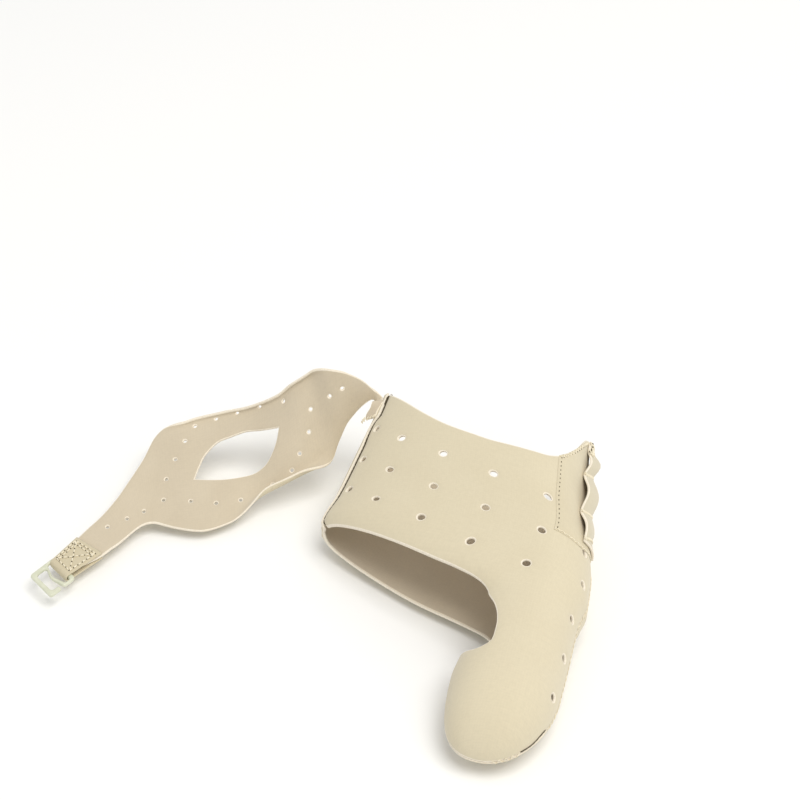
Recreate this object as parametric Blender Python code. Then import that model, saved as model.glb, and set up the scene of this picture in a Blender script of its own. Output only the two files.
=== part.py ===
"""A bunion corrector for a right foot, in the form that it has when it is worn.

A band of perforated stretch laminate goes round the ball of the foot and runs out into a closed sheath
for the big toe. Hook loops sit on the big toe's side. The heel strap is sewn to the other side by a narrow
neck; it is not yet fastened and lies spread out, with its folded tab and flat hook at the free end.

Metres, +Z up. The toes point towards -Y and the big toe's side is +X. The origin is the middle of the
band's tunnel at the ball of the foot.
"""

import math

import bpy
import numpy as np
from mathutils import Vector
from mathutils.geometry import delaunay_2d_cdt

for item in list(bpy.data.objects):
    bpy.data.objects.remove(item, do_unlink=True)

MM = 0.001

# Sizes of the foot-shaped form, measured to the outer face
BALL_WIDTH = 80.0 * MM
BALL_HEIGHT = 38.0 * MM
BAND_REACH = 45.0 * MM
TOE_REACH = 82.0 * MM
TOE_OFFSET = 24.25 * MM
TOE_WIDTH = 32.0 * MM
TOE_HEIGHT = 25.5 * MM
TOE_CAP = 24.0 * MM
TIP_DRIFT = 2.2 * MM
TIP_HEIGHT = 6.0 * MM
SECTION_SLANT = 0.25
SOLE_BULGE = 1.4 * MM
SOLE_SQUARENESS = 3.0
TIP_ROUNDNESS = 2.1

# Sheet thicknesses and clearances
PANEL_WALL = 1.6 * MM
PATCH_WALL = 1.0 * MM
STRIP_WALL = 1.0 * MM
STRAP_WALL = 1.2 * MM
TAB_WALL = 1.0 * MM
GAP = 0.3 * MM

# Perforations of the upper panel, measured along its outer face
HOLE_ROUND = 2.6 * MM
HOLE_ALONG = 2.1 * MM
HOLE_FRONT = 30.3 * MM
HOLE_PITCH = 13.0 * MM
HOLE_DRIFT = 17.5 * MM
HOLE_ROWS = 3

# Loop patch and loop strip
PATCH_WIDTH = 22.8 * MM
PATCH_FLARE = 0.3 * MM
PATCH_INSET = 1.0 * MM
PATCH_FRONT = 15.2 * MM
PATCH_CORNER = 8.0 * MM
STRIP_WIDTH = 13.4 * MM
STRIP_FRONT = -1.0 * MM
STRIP_SLANT = 0.95
LOOP_BULGE = 1.6 * MM

# Heel strap, tab and hook
STRAP_LENGTH = 114.0 * MM
STRAP_RISE = 18.0 * MM
STRAP_WIDTH = 41.0 * MM
ROOT_WIDTH = 10.2 * MM
PERF_SIZE = 1.7 * MM
LENS_LENGTH = 27.0 * MM
LENS_WIDTH = 16.0 * MM
LENS_PLACE = 52.0 * MM
LENS_SHIFT = 1.2 * MM
TAB_LENGTH = 10.9 * MM
TAB_WIDTH = 10.8 * MM
TAB_FOLD_WIDTH = 9.2 * MM
HOOK_BAR = 1.8 * MM
HOOK_SIDE = 1.1 * MM
HOOK_THICK = 1.2 * MM
HOOK_SLOT = 2.4 * MM
HOOK_BOW = 0.9 * MM
HOOK_REACH = 4.8 * MM
HOOK_RETURN = 2.9 * MM
HOOK_CORNER = 0.8 * MM

# Spacing of the mesh points
PANEL_STEP = 5.2 * MM
SMALL_STEP = 3.6 * MM
FINE_SHARE = 0.62
HOLE_SIDES = 8

# Sections of the band. Column along is a share of BAND_REACH behind the ball and of TOE_REACH before it,
# the next three are shares of BALL_WIDTH, and the four heights above the floor are shares of BALL_HEIGHT.
# Columns: along, inner, ridge, outer, top, inner seam, outer seam, bottom, slant, inner and outer roundness.
BAND_SECTIONS = (
    (1.00, 0.420, 0.090, -0.358, 1.37, 0.66, 0.84, 0.13, 1.0, 2.2, 1.9),
    (0.67, 0.440, 0.125, -0.393, 1.25, 0.58, 0.71, 0.07, 1.0, 2.2, 1.9),
    (0.33, 0.460, 0.175, -0.432, 1.12, 0.50, 0.56, 0.02, 1.0, 2.2, 1.9),
    (0.00, 0.486, 0.238, -0.470, 1.00, 0.45, 0.42, 0.00, 1.0, 2.3, 1.9),
    (-0.148, 0.526, 0.288, -0.500, 0.895, 0.41, 0.31, 0.01, 1.0, 2.3, 2.0),
    (-0.269, 0.530, 0.315, -0.535, 0.82, 0.38, 0.25, 0.03, 1.1, 2.3, 2.1),
    (-0.348, 0.516, 0.335, -0.360, 0.77, 0.37, 0.26, 0.05, 0.9, 2.2, 2.1),
)

# Sections of the toe sheath, in shares of TOE_REACH, of TOE_WIDTH from the toe's axis and of TOE_HEIGHT.
TOE_SECTIONS = (
    (-0.439, 0.508, 0.055, -0.505, 1.08, 0.48, 0.40, 0.12, 0.3, 2.2, 2.2),
    (-0.610, 0.492, 0.023, -0.450, 1.00, 0.40, 0.36, 0.08, 0.0, 2.2, 2.2),
    (-0.707, 0.474, -0.020, -0.488, 0.96, 0.34, 0.31, 0.066, 0.0, 2.2, 2.2),
)

# Rear edge of the upper panel: share of the girth from the inner seam, share of BAND_REACH.
REAR_EDGE = (
    (0.00, 0.92), (0.05, 0.85), (0.10, 0.73), (0.17, 0.50), (0.22, 0.35), (0.29, 0.235),
    (0.36, 0.21), (0.45, 0.205), (0.53, 0.225), (0.62, 0.265), (0.71, 0.34), (0.84, 0.49),
    (0.93, 0.60), (1.00, 0.69),
)

# Columns of the band's perforations: share of the girth from the inner seam, share of HOLE_DRIFT.
HOLE_COLUMNS = ((0.255, 0.0), (0.430, 0.11), (0.603, 0.33), (0.765, 0.63), (0.910, 1.0))

# Perforations down the big toe: share of TOE_REACH before the ball, share of TOE_WIDTH from the inner seam.
TOE_HOLES = ((0.162, 0.34), (0.290, 0.27), (0.470, 0.225), (0.640, 0.20), (0.806, 0.20))

# Cut for the smaller toes in the upper panel, from the web of the big toe to the front of the outer seam:
# share of the girth from the inner seam, share of TOE_REACH.
TOE_CUT = (
    (1.000, 0.630), (0.900, 0.664), (0.795, 0.686), (0.690, 0.698), (0.632, 0.686), (0.610, 0.656),
    (0.610, 0.577), (0.612, 0.534), (0.644, 0.491), (0.698, 0.443), (0.687, 0.412), (0.673, 0.393),
    (0.685, 0.377), (0.722, 0.363), (0.768, 0.344), (0.823, 0.327), (0.900, 0.311), (1.000, 0.289),
)

# The same cut in the sole panel, which the foot hides.
SOLE_CUT = (
    (1.000, 0.630), (0.880, 0.630), (0.740, 0.610), (0.680, 0.538), (0.700, 0.464), (0.740, 0.406),
    (0.800, 0.369), (0.870, 0.337), (0.940, 0.311), (1.000, 0.289),
)
SOLE_REAR = ((0.00, 0.92), (0.20, 0.62), (0.50, 0.54), (0.80, 0.59), (1.00, 0.69))

# Heel strap from its root to the tab. Out and fore are shares of STRAP_LENGTH from the root, rise is a share
# of STRAP_RISE from the root's height, width is a share of STRAP_WIDTH, and the last two columns are the
# cross line's direction in plan and its tilt, in degrees. Columns: out, fore, rise, width, across, tilt.
STRAP_ROWS = (
    (0.045, -0.007, 0.22, 0.15, 98.0, 74.0),
    (0.085, 0.020, 0.28, 0.38, 106.0, 76.0),
    (0.110, 0.031, 0.18, 0.58, 120.0, 69.0),
    (0.148, 0.045, -0.04, 0.75, 120.0, 56.0),
    (0.197, 0.079, -0.24, 0.79, 113.0, 46.0),
    (0.243, 0.104, -0.44, 0.81, 106.0, 38.0),
    (0.325, 0.131, -0.70, 0.87, 107.0, 28.0),
    (0.390, 0.168, -0.81, 1.00, 107.0, 21.0),
    (0.451, 0.198, -0.87, 1.05, 109.0, 17.0),
    (0.496, 0.216, -0.90, 1.00, 111.0, 16.0),
    (0.536, 0.226, -0.93, 0.94, 112.0, 15.0),
    (0.562, 0.242, -0.96, 0.83, 112.0, 14.0),
    (0.582, 0.277, -1.00, 0.63, 113.0, 13.0),
    (0.602, 0.328, -1.04, 0.45, 119.0, 13.0),
    (0.619, 0.383, -1.08, 0.34, 129.0, 12.0),
    (0.639, 0.439, -1.11, 0.29, 142.0, 9.0),
    (0.657, 0.475, -1.13, 0.28, 151.0, 5.0),
    (0.669, 0.506, -1.13, 0.27, 155.0, 3.0),
)

# Lens-shaped slot of the strap: shares of LENS_LENGTH and LENS_WIDTH from its middle, tip to tip.
LENS_UPPER = (
    (0.57, -0.20), (0.50, 0.08), (0.43, 0.30), (0.22, 0.54), (-0.02, 0.51), (-0.25, 0.39), (-0.50, 0.26),
)
LENS_LOWER = (
    (-0.50, 0.26), (-0.46, 0.02), (-0.40, -0.18), (-0.31, -0.36), (-0.14, -0.46), (0.16, -0.38),
    (0.57, -0.20),
)

# Ring of perforations round the slot: shares of LENS_LENGTH and of STRAP_WIDTH from the slot's middle.
PERF_RING = (
    (-0.97, 0.07), (-0.59, 0.28), (-0.27, 0.35), (0.02, 0.39), (0.28, 0.42), (0.52, 0.41), (0.64, 0.29),
    (0.77, 0.13), (0.90, -0.04), (0.96, -0.22), (0.64, -0.27), (0.33, -0.33), (0.03, -0.36), (-0.39, -0.32),
    (-0.64, -0.28), (-0.75, -0.19), (-0.90, -0.08),
)

# Rows of perforations to each end: place along the strap as a share of STRAP_LENGTH, share of its width.
PERF_ROWS = ((0.120, 0.20), (0.158, 0.15), (0.762, -0.27), (0.837, -0.12), (0.903, 0.12))

# Loop strip: share of its length from the front, share of STRIP_WIDTH. The tacks between the loops follow
# as shares of its length, and each loop's bulge as a share of LOOP_BULGE.
STRIP_TAPER = ((0.0, 0.89), (0.15, 0.90), (0.30, 0.90), (0.45, 0.84), (0.68, 0.74), (0.85, 0.56), (1.0, 0.42))
LOOP_TACKS = (0.0, 0.28, 0.67, 0.90, 1.0)
LOOP_SHARES = (0.3, 1.0, 1.0, 0.0)


def slopes_through(known_x, known_y):
    """Slopes of a monotone cubic through rising known_x and the rows of known_y."""
    step = np.diff(known_x)[:, None]
    secant = np.diff(known_y, axis=0) / step
    slope = np.empty_like(known_y)
    slope[0] = secant[0]
    slope[-1] = secant[-1]
    before, after = secant[:-1], secant[1:]
    weight_before = 2 * step[1:] + step[:-1]
    weight_after = step[1:] + 2 * step[:-1]
    turning = before * after <= 0
    safe_before = np.where(turning, 1.0, before)
    safe_after = np.where(turning, 1.0, after)
    mean = (weight_before + weight_after) / (weight_before / safe_before + weight_after / safe_after)
    slope[1:-1] = np.where(turning, 0.0, mean)
    return slope


def smooth_through(known_x, known_y, x):
    """Values at x of the monotone cubic through the rows of known_y at rising known_x."""
    known_x = np.asarray(known_x, float)
    known_y = np.asarray(known_y, float)
    if known_y.ndim == 1:
        return smooth_through(known_x, known_y[:, None], x)[:, 0]
    x = np.clip(np.atleast_1d(np.asarray(x, float)), known_x[0], known_x[-1])
    slope = slopes_through(known_x, known_y)
    cell = np.clip(np.searchsorted(known_x, x) - 1, 0, len(known_x) - 2)
    width = (known_x[cell + 1] - known_x[cell])[:, None]
    t = ((x - known_x[cell])[:, None]) / width
    rest = 1 - t
    start = known_y[cell] * (1 + 2 * t) * rest ** 2 + slope[cell] * width * t * rest ** 2
    end = known_y[cell + 1] * (3 - 2 * t) * t ** 2 - slope[cell + 1] * width * rest * t ** 2
    return start + end


def curve_through(points, step):
    """Points every step along a smooth curve through a few points, with both ends kept."""
    points = np.asarray(points, float)
    chord = np.concatenate([[0], np.cumsum(np.linalg.norm(np.diff(points, axis=0), axis=1))])
    fine = smooth_through(chord, points, np.linspace(0, chord[-1], 40 * len(points)))
    run = np.concatenate([[0], np.cumsum(np.linalg.norm(np.diff(fine, axis=0), axis=1))])
    count = max(2, int(round(run[-1] / step)) + 1)
    places = np.linspace(0, run[-1], count)
    return np.stack([np.interp(places, run, fine[:, axis]) for axis in range(fine.shape[1])], 1)


class Form:
    """The outer face of the band and sheath as sections across the foot.

    A place on it is (girth, run): the distance round the section from the inner seam, over the instep or
    under the sole, and the distance along the instep's ridge from the ball, positive towards the heel.
    """

    SAMPLES = 121

    def __init__(self):
        rows = []
        for row in BAND_SECTIONS:
            reach = BAND_REACH if row[0] > 0 else TOE_REACH
            widths = [share * BALL_WIDTH for share in row[1:4]]
            heights = [share * BALL_HEIGHT for share in row[4:8]]
            rows.append([row[0] * reach, *widths, *heights, row[8] * SECTION_SLANT, *row[9:]])
        for row in TOE_SECTIONS:
            widths = [TOE_OFFSET + share * TOE_WIDTH for share in row[1:4]]
            heights = [share * TOE_HEIGHT for share in row[4:8]]
            rows.append([row[0] * TOE_REACH, *widths, *heights, row[8] * SECTION_SLANT, *row[9:]])
        self.rows = np.array(rows[::-1])
        self.cap_start = -(TOE_REACH - TOE_CAP)
        turn = np.linspace(0.01, 0.98, 90) * math.pi / 2
        body = np.linspace(BAND_REACH, self.cap_start, 320)
        self.stations = np.concatenate([body, self.cap_start - TOE_CAP * np.sin(turn)])
        middle = np.full((len(self.stations), 1), math.pi / 2)
        ridge = self.points(self.stations, middle, True)[:, 0]
        run = np.concatenate([[0], np.cumsum(np.linalg.norm(np.diff(ridge, axis=0), axis=1))])
        at_ball = np.interp(0.0, -self.stations, run)
        self.runs = at_ball - run
        self.cap_run = float(self.run_at(self.cap_start))

    def section(self, station):
        """The section's sizes at each station, rounded off towards the tip of the toe."""
        station = np.atleast_1d(station)
        size = smooth_through(self.rows[:, 0], self.rows[:, 1:], np.maximum(station, self.rows[0, 0]))
        into_cap = np.clip((self.cap_start - station) / TOE_CAP, 0, 1)
        keep = np.sqrt(np.maximum(1 - into_cap ** 2, 1e-4))[:, None]
        tip_x = TOE_OFFSET - TIP_DRIFT
        size[:, 0:3] = tip_x + (size[:, 0:3] - tip_x) * keep
        size[:, 3:7] = TIP_HEIGHT + (size[:, 3:7] - TIP_HEIGHT) * keep
        return size

    def points(self, station, angle, upper):
        """Points of the sections at angles from 0 at the inner seam to pi at the outer one."""
        station = np.atleast_1d(station)
        columns = [column[:, None] for column in self.section(station).T]
        inner, ridge, outer, top, seam_in, seam_out, bottom, slant, round_in, round_out = columns
        across = np.cos(angle)
        lift = np.abs(np.sin(angle))
        inward = across >= 0
        seam = np.where(inward, seam_in, seam_out)
        if upper:
            power = 2 / np.where(inward, round_in, round_out)
            reach = np.where(inward, inner - ridge, ridge - outer)
            middle, far = ridge, top
            swell = 0.0
        else:
            reach = (inner - outer) / 2
            middle, far = (inner + outer) / 2, bottom
            from_seam = np.minimum(angle, math.pi - angle)
            room = np.clip(2 * reach / TOE_WIDTH - 1, 0, 1)
            power = 2 / (TIP_ROUNDNESS + (SOLE_SQUARENESS - TIP_ROUNDNESS) * room)
            swell = SOLE_BULGE * room * np.sin(2 * from_seam) * np.sign(across)
        x = middle + reach * np.sign(across) * np.abs(across) ** power + swell
        z = seam + (far - seam) * lift ** power
        y = station[:, None] - slant * (x - ridge)
        return np.stack([x, y + 0 * z, z - BALL_HEIGHT / 2], -1)

    def arcs(self, station, upper):
        """Angles round each section and the distance run from the inner seam to each."""
        angle = np.broadcast_to(np.linspace(0, math.pi, self.SAMPLES), (len(station), self.SAMPLES))
        points = self.points(station, angle, upper)
        steps = np.linalg.norm(np.diff(points, axis=1), axis=2)
        return angle, np.concatenate([np.zeros((len(station), 1)), np.cumsum(steps, axis=1)], axis=1)

    def station_at(self, run):
        """Station along the foot for each run along the ridge."""
        return np.interp(-np.asarray(run, float), -self.runs, self.stations)

    def run_at(self, station):
        """Run along the ridge for each station along the foot."""
        return np.interp(-np.asarray(station, float), -self.stations, self.runs)

    def girth(self, run, upper):
        """Whole distance from seam to seam at each run."""
        _, arc = self.arcs(np.atleast_1d(self.station_at(run)), upper)
        return arc[:, -1]

    def angles(self, places, upper):
        """Station and section angle of each (girth, run) place, the angle as a column."""
        places = np.asarray(places, float)
        station = self.station_at(places[:, 1])
        angles, arc = self.arcs(station, upper)
        angle = [np.interp(g, a, t) for g, a, t in zip(places[:, 0], arc, angles)]
        return station, np.array(angle)[:, None]

    def outer_face(self, places, upper):
        """Points of the outer face at (girth, run) places."""
        station, angle = self.angles(places, upper)
        return self.points(station, angle, upper)[:, 0]

    def normals(self, places, upper):
        """Outward unit normals of the outer face at the same places."""
        station, angle = self.angles(places, upper)
        turn = 0.003
        shift = 0.05 * MM
        before = self.points(station, np.maximum(angle - turn, 1e-4), upper)[:, 0]
        after = self.points(station, np.minimum(angle + turn, math.pi - 1e-4), upper)[:, 0]
        last = self.stations[-1]
        toward = self.points(np.maximum(station - shift, last), angle, upper)[:, 0]
        away = self.points(np.maximum(station, last) + shift, angle, upper)[:, 0]
        along = away - toward
        round_way = after - before
        normal = np.cross(along, round_way) if upper else np.cross(round_way, along)
        return normal / np.linalg.norm(normal, axis=1)[:, None]

    def centred(self, places, upper, way=-1):
        """Places with the toe cap's girths counted from its middle, or back again with way 1."""
        places = np.asarray(places, float)
        half = self.girth(np.minimum(places[:, 1], self.cap_run), upper) / 2
        return places + np.stack([way * half, np.zeros(len(places))], 1)

    def layer(self, places, depth, upper=True):
        """Points at the given height above the outer face, negative into the wall."""
        depth = np.broadcast_to(np.asarray(depth, float), len(places))[:, None]
        return self.outer_face(places, upper) + self.normals(places, upper) * depth


def inside(points, loop):
    """Whether each point lies inside a closed loop."""
    x, y = points[:, 0][:, None], points[:, 1][:, None]
    x0, y0 = loop[:, 0], loop[:, 1]
    x1, y1 = np.roll(x0, -1), np.roll(y0, -1)
    crosses = (y0 > y) != (y1 > y)
    rise = np.where(y1 == y0, 1.0, y1 - y0)
    return (crosses & (x < x0 + (x1 - x0) * (y - y0) / rise)).sum(axis=1) % 2 == 1


def staggered(low, high, step):
    """Points of a staggered grid over a box."""
    rows = []
    for index, y in enumerate(np.arange(low[1], high[1], step * math.sqrt(3) / 2)):
        x = np.arange(low[0] + (index % 2) * step / 2, high[0], step)
        rows.append(np.stack([x, np.full_like(x, y)], 1))
    return np.vstack(rows)


def fill_points(loops, step, fine_below):
    """Staggered points inside the first loop and outside the others, closer below a run."""
    low, high = loops[0].min(axis=0), loops[0].max(axis=0)
    coarse = staggered(low, high, step)
    fine = staggered(low, high, FINE_SHARE * step)
    zones = ((coarse[coarse[:, 1] > fine_below], step), (fine[fine[:, 1] <= fine_below], FINE_SHARE * step))
    rim = np.vstack(loops)
    kept = []
    for points, spacing in zones:
        if not len(points):
            continue
        keep = inside(points, loops[0])
        for hole in loops[1:]:
            keep &= ~inside(points, hole)
        points = points[keep]
        nearest = np.linalg.norm(points[:, None] - rim[None], axis=2).min(axis=1)
        kept.append(points[nearest > 0.62 * spacing])
    return np.vstack(kept)


def triangulate(loops, step, fine_below):
    """Places and triangles that fill the first loop around the other loops."""
    inner = fill_points(loops, step, fine_below)
    places = np.vstack([*loops, inner])
    edges = []
    start = 0
    for loop in loops:
        count = len(loop)
        edges += [(start + i, start + (i + 1) % count) for i in range(count)]
        start += count
    flat = [Vector(place / MM) for place in places]
    points, _, faces, *_ = delaunay_2d_cdt(flat, edges, [], 0, 1e-6, False)
    points = np.array([tuple(point) for point in points]) * MM
    faces = np.array([face for face in faces if len(face) == 3])
    middle = points[faces].mean(axis=1)
    keep = inside(middle, loops[0])
    for hole in loops[1:]:
        keep &= ~inside(middle, hole)
    return points, faces[keep]


def material(name, colour, roughness, metallic=0.0):
    """A plain Principled material."""
    made = bpy.data.materials.new(name)
    made.use_nodes = True
    shader = made.node_tree.nodes["Principled BSDF"]
    shader.inputs["Base Color"].default_value = (*colour, 1.0)
    shader.inputs["Roughness"].default_value = roughness
    shader.inputs["Metallic"].default_value = metallic
    return made


def add_object(name, points, faces, finish):
    """One named mesh object whose faces point outwards."""
    points = np.asarray(points)
    corners = [points[list(face)] for face in faces]
    volume = sum(np.dot(c[0], np.cross(c[i], c[i + 1])) for c in corners for i in range(1, len(c) - 1))
    if volume < 0:
        faces = [tuple(reversed(face)) for face in faces]
    mesh = bpy.data.meshes.new(name)
    mesh.from_pydata([tuple(map(float, point)) for point in points], [], [tuple(map(int, f)) for f in faces])
    mesh.materials.append(finish)
    mesh.shade_smooth()
    mesh.set_sharp_from_angle(angle=math.radians(40))
    made = bpy.data.objects.new(name, mesh)
    bpy.context.scene.collection.objects.link(made)
    return made


def add_sheet(name, loops, faces_of, step, finish, fine_below=-math.inf):
    """A sheet with holes: faces_of(places) gives the points of its two faces."""
    places, triangles = triangulate(loops, step, fine_below)
    front, back = faces_of(places)
    count = len(places)
    faces = [tuple(t) for t in triangles]
    faces += [tuple(count + i for i in reversed(t)) for t in triangles]
    seen = set()
    for a, b, c in triangles:
        seen.update(((a, b), (b, c), (c, a)))
    for a, b in sorted(seen):
        if (b, a) not in seen:
            faces.append((b, a, count + a))
            faces.append((b, count + a, count + b))
    return add_object(name, np.vstack([front, back]), faces, finish)


def ellipse(centre, round_size, along_size):
    """A small hole's outline round its centre."""
    turn = np.arange(HOLE_SIDES) * 2 * math.pi / HOLE_SIDES
    return np.stack([centre[0] + round_size / 2 * np.cos(turn), centre[1] + along_size / 2 * np.sin(turn)], 1)


def seam_places(form, first_run, last_run, upper, at_outer):
    """Places along a seam, half a gap inside it, evenly spaced along its own length."""
    angle = math.pi if at_outer else 0.0
    fine = np.linspace(first_run, last_run, 400)
    seam = form.points(form.station_at(fine), np.full((400, 1), angle), upper)[:, 0]
    length = np.concatenate([[0], np.cumsum(np.linalg.norm(np.diff(seam, axis=0), axis=1))])
    count = max(2, int(round(length[-1] / (0.75 * PANEL_STEP))) + 1)
    runs = np.interp(np.linspace(0, length[-1], count), length, fine)
    if not at_outer:
        return np.stack([np.full(count, GAP / 2), runs], 1)
    return np.stack([form.girth(runs, upper) - GAP / 2, runs], 1)


def edge_places(form, rows, reach, upper, step):
    """Places along a cut edge from a table of girth shares and reach shares."""
    stations = np.array([row[1] * reach for row in rows])
    runs = form.run_at(stations)
    whole = form.girth(runs, upper)
    shares = np.array([row[0] for row in rows])
    places = np.stack([shares * (whole - GAP) + GAP / 2, runs], 1)
    return curve_through(places, step)


def panel_outline(form, rear_rows, cut_rows, upper):
    """Outline of a panel: inner seam, tip, sheath's outer seam, cut for the toes, outer seam, rear edge."""
    tip_run = form.runs[-1]
    rear_inner = float(form.run_at(rear_rows[0][1] * BAND_REACH))
    rear_outer = float(form.run_at(rear_rows[-1][1] * BAND_REACH))
    web = float(form.run_at(-cut_rows[0][1] * TOE_REACH))
    corner = float(form.run_at(-cut_rows[-1][1] * TOE_REACH))
    inner_seam = seam_places(form, rear_inner, tip_run, upper, False)
    toe_seam = seam_places(form, tip_run, web, upper, True)
    cut = edge_places(form, cut_rows, -TOE_REACH, upper, 0.7 * PANEL_STEP)
    band_seam = seam_places(form, corner, rear_outer, upper, True)
    rear = edge_places(form, rear_rows[::-1], BAND_REACH, upper, 0.8 * PANEL_STEP)
    return np.vstack([inner_seam, toe_seam, cut[1:-1], band_seam, rear[1:-1]])


def clear_of(place, outline, margin):
    """Whether a place lies inside an outline with a margin to its points."""
    if not inside(np.array([place]), outline)[0]:
        return False
    return np.linalg.norm(outline - np.array(place), axis=1).min() > margin


def panel_hole_places(form, outline):
    """Centres of the upper panel's perforations: slanted rows over the band, one row down the toe."""
    centres = []
    foremost = -HOLE_FRONT * 2 / 3
    for row in range(HOLE_ROWS):
        for share, drift in HOLE_COLUMNS:
            run = row * HOLE_PITCH + drift * HOLE_DRIFT - HOLE_FRONT
            centres.append((share * float(form.girth(max(run, foremost), True)[0]), run))
    centres += [(girth * TOE_WIDTH, -along * TOE_REACH) for along, girth in TOE_HOLES]
    return [centre for centre in centres if clear_of(centre, outline, HOLE_ROUND)]


def build_panel(form, name, loops, upper, finish):
    """A panel with its outer face on the form, meshed in places centred on the toe cap."""

    def both_faces(places):
        places = form.centred(places, upper, 1)
        return form.layer(places, 0.0, upper), form.layer(places, -PANEL_WALL, upper)

    centred = [form.centred(loop, upper) for loop in loops]
    return add_sheet(name, centred, both_faces, PANEL_STEP, finish, form.cap_run)


def build_upper(form, finish):
    """The dorsal sheet, from the band's rear edge to the tip of the toe."""
    outline = panel_outline(form, REAR_EDGE, TOE_CUT, True)
    holes = [ellipse(c, HOLE_ROUND, HOLE_ALONG) for c in panel_hole_places(form, outline)]
    return build_panel(form, "upper_panel", [outline, *holes], True, finish)


def build_sole(form, finish):
    """The plantar sheet under the ball and the big toe."""
    return build_panel(form, "sole_panel", [panel_outline(form, SOLE_REAR, SOLE_CUT, False)], False, finish)


def rear_run(form, girth):
    """Run of the upper panel's rear edge at a distance from the inner seam."""
    shares = [row[0] for row in REAR_EDGE]
    whole = float(form.girth(form.run_at(0.0), True)[0])
    station = smooth_through(shares, [row[1] * BAND_REACH for row in REAR_EDGE], [girth / whole])
    return float(form.run_at(station[0]))


def patch_outline(form):
    """Outline of the loop patch: up the inner seam, along the rear edge, down and back in a curve."""
    margin = PATCH_INSET
    rear_girths = np.linspace(margin, PATCH_WIDTH, 7)
    rear = np.array([(g, rear_run(form, g) - margin) for g in rear_girths])
    front_edge = np.array([
        (PATCH_WIDTH, rear[-1, 1]),
        (PATCH_WIDTH + PATCH_FLARE / 2, rear[-1, 1] * 0.4 - PATCH_FRONT * 0.4),
        (PATCH_WIDTH + PATCH_FLARE, -PATCH_FRONT),
    ])
    lower_edge = np.array([
        (PATCH_WIDTH + PATCH_FLARE, -PATCH_FRONT),
        (0.62 * PATCH_WIDTH, -PATCH_FRONT + 0.15 * PATCH_CORNER),
        (0.28 * PATCH_WIDTH, -PATCH_FRONT + 0.65 * PATCH_CORNER),
        (margin, -PATCH_FRONT + PATCH_CORNER),
    ])
    side = curve_through(front_edge, SMALL_STEP)
    lower = curve_through(lower_edge, SMALL_STEP)
    up = np.linspace(lower[-1], rear[0], max(2, int(round((rear[0, 1] - lower[-1, 1]) / SMALL_STEP))))
    return np.vstack([rear, side[1:], lower[1:], up[1:-1]])


def build_patch(form, finish):
    """The reinforcing patch on the band's inner rear corner."""

    def both_faces(places):
        return form.layer(places, GAP + PATCH_WALL), form.layer(places, GAP)

    return add_sheet("loop_patch", [patch_outline(form)], both_faces, SMALL_STEP, finish)


def strip_span(form):
    """First and last place of the loop strip along its own slanted length."""
    top = PATCH_INSET + STRIP_WIDTH * STRIP_TAPER[-1][1]
    return -STRIP_FRONT, rear_run(form, top) - 1.5 * PATCH_INSET + STRIP_SLANT * top


def strip_lift(places, span):
    """Height of the loop strip over the patch: it touches at each tack and bulges between them."""
    along = places[:, 1] + STRIP_SLANT * places[:, 0]
    share = np.clip((along - span[0]) / (span[1] - span[0]), 0, 1)
    loop = np.clip(np.searchsorted(LOOP_TACKS, share) - 1, 0, len(LOOP_SHARES) - 1)
    tacks = np.array(LOOP_TACKS)
    within = (share - tacks[loop]) / (tacks[loop + 1] - tacks[loop])
    return LOOP_BULGE * np.array(LOOP_SHARES)[loop] * np.sin(math.pi * within) ** 2


def strip_outline(form, span):
    """Outline of the loop strip: along the inner seam and back along its free upper edge."""
    shares = [np.linspace(low, high, 9)[:-1] for low, high in zip(LOOP_TACKS[:-1], LOOP_TACKS[1:])]
    shares = np.append(np.concatenate(shares), 1.0)
    along = span[0] + shares * (span[1] - span[0])
    taper = smooth_through([row[0] for row in STRIP_TAPER], [row[1] for row in STRIP_TAPER], shares)
    low = np.full(len(along), 1.5 * PATCH_INSET)
    high = low + taper * STRIP_WIDTH
    last_run = rear_run(form, low[0]) - 2 * PATCH_INSET
    lower = np.stack([low, np.minimum(along - STRIP_SLANT * low, last_run)], 1)
    upper = np.stack([high, along - STRIP_SLANT * high], 1)
    front = curve_through([upper[0], lower[0]], SMALL_STEP)[1:-1]
    rear = curve_through([lower[-1], upper[-1]], SMALL_STEP)[1:-1]
    return np.vstack([lower, rear, upper[::-1], front])


def build_strip(form, finish):
    """The strip tacked to the patch at four places, which leaves a loop between each two."""
    span = strip_span(form)
    base = 2 * GAP + PATCH_WALL

    def both_faces(places):
        lift = base + strip_lift(places, span)
        return form.layer(places, lift + STRIP_WALL), form.layer(places, lift)

    return add_sheet("loop_strip", [strip_outline(form, span)], both_faces, 0.6 * SMALL_STEP, finish)


def plan_vector(azimuth, tilt):
    """Unit vector of a direction in plan and a tilt above it, in degrees."""
    azimuth, tilt = np.radians(azimuth), np.radians(tilt)
    return np.stack([np.cos(tilt) * np.cos(azimuth), np.cos(tilt) * np.sin(azimuth), np.sin(tilt)], -1)


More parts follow.
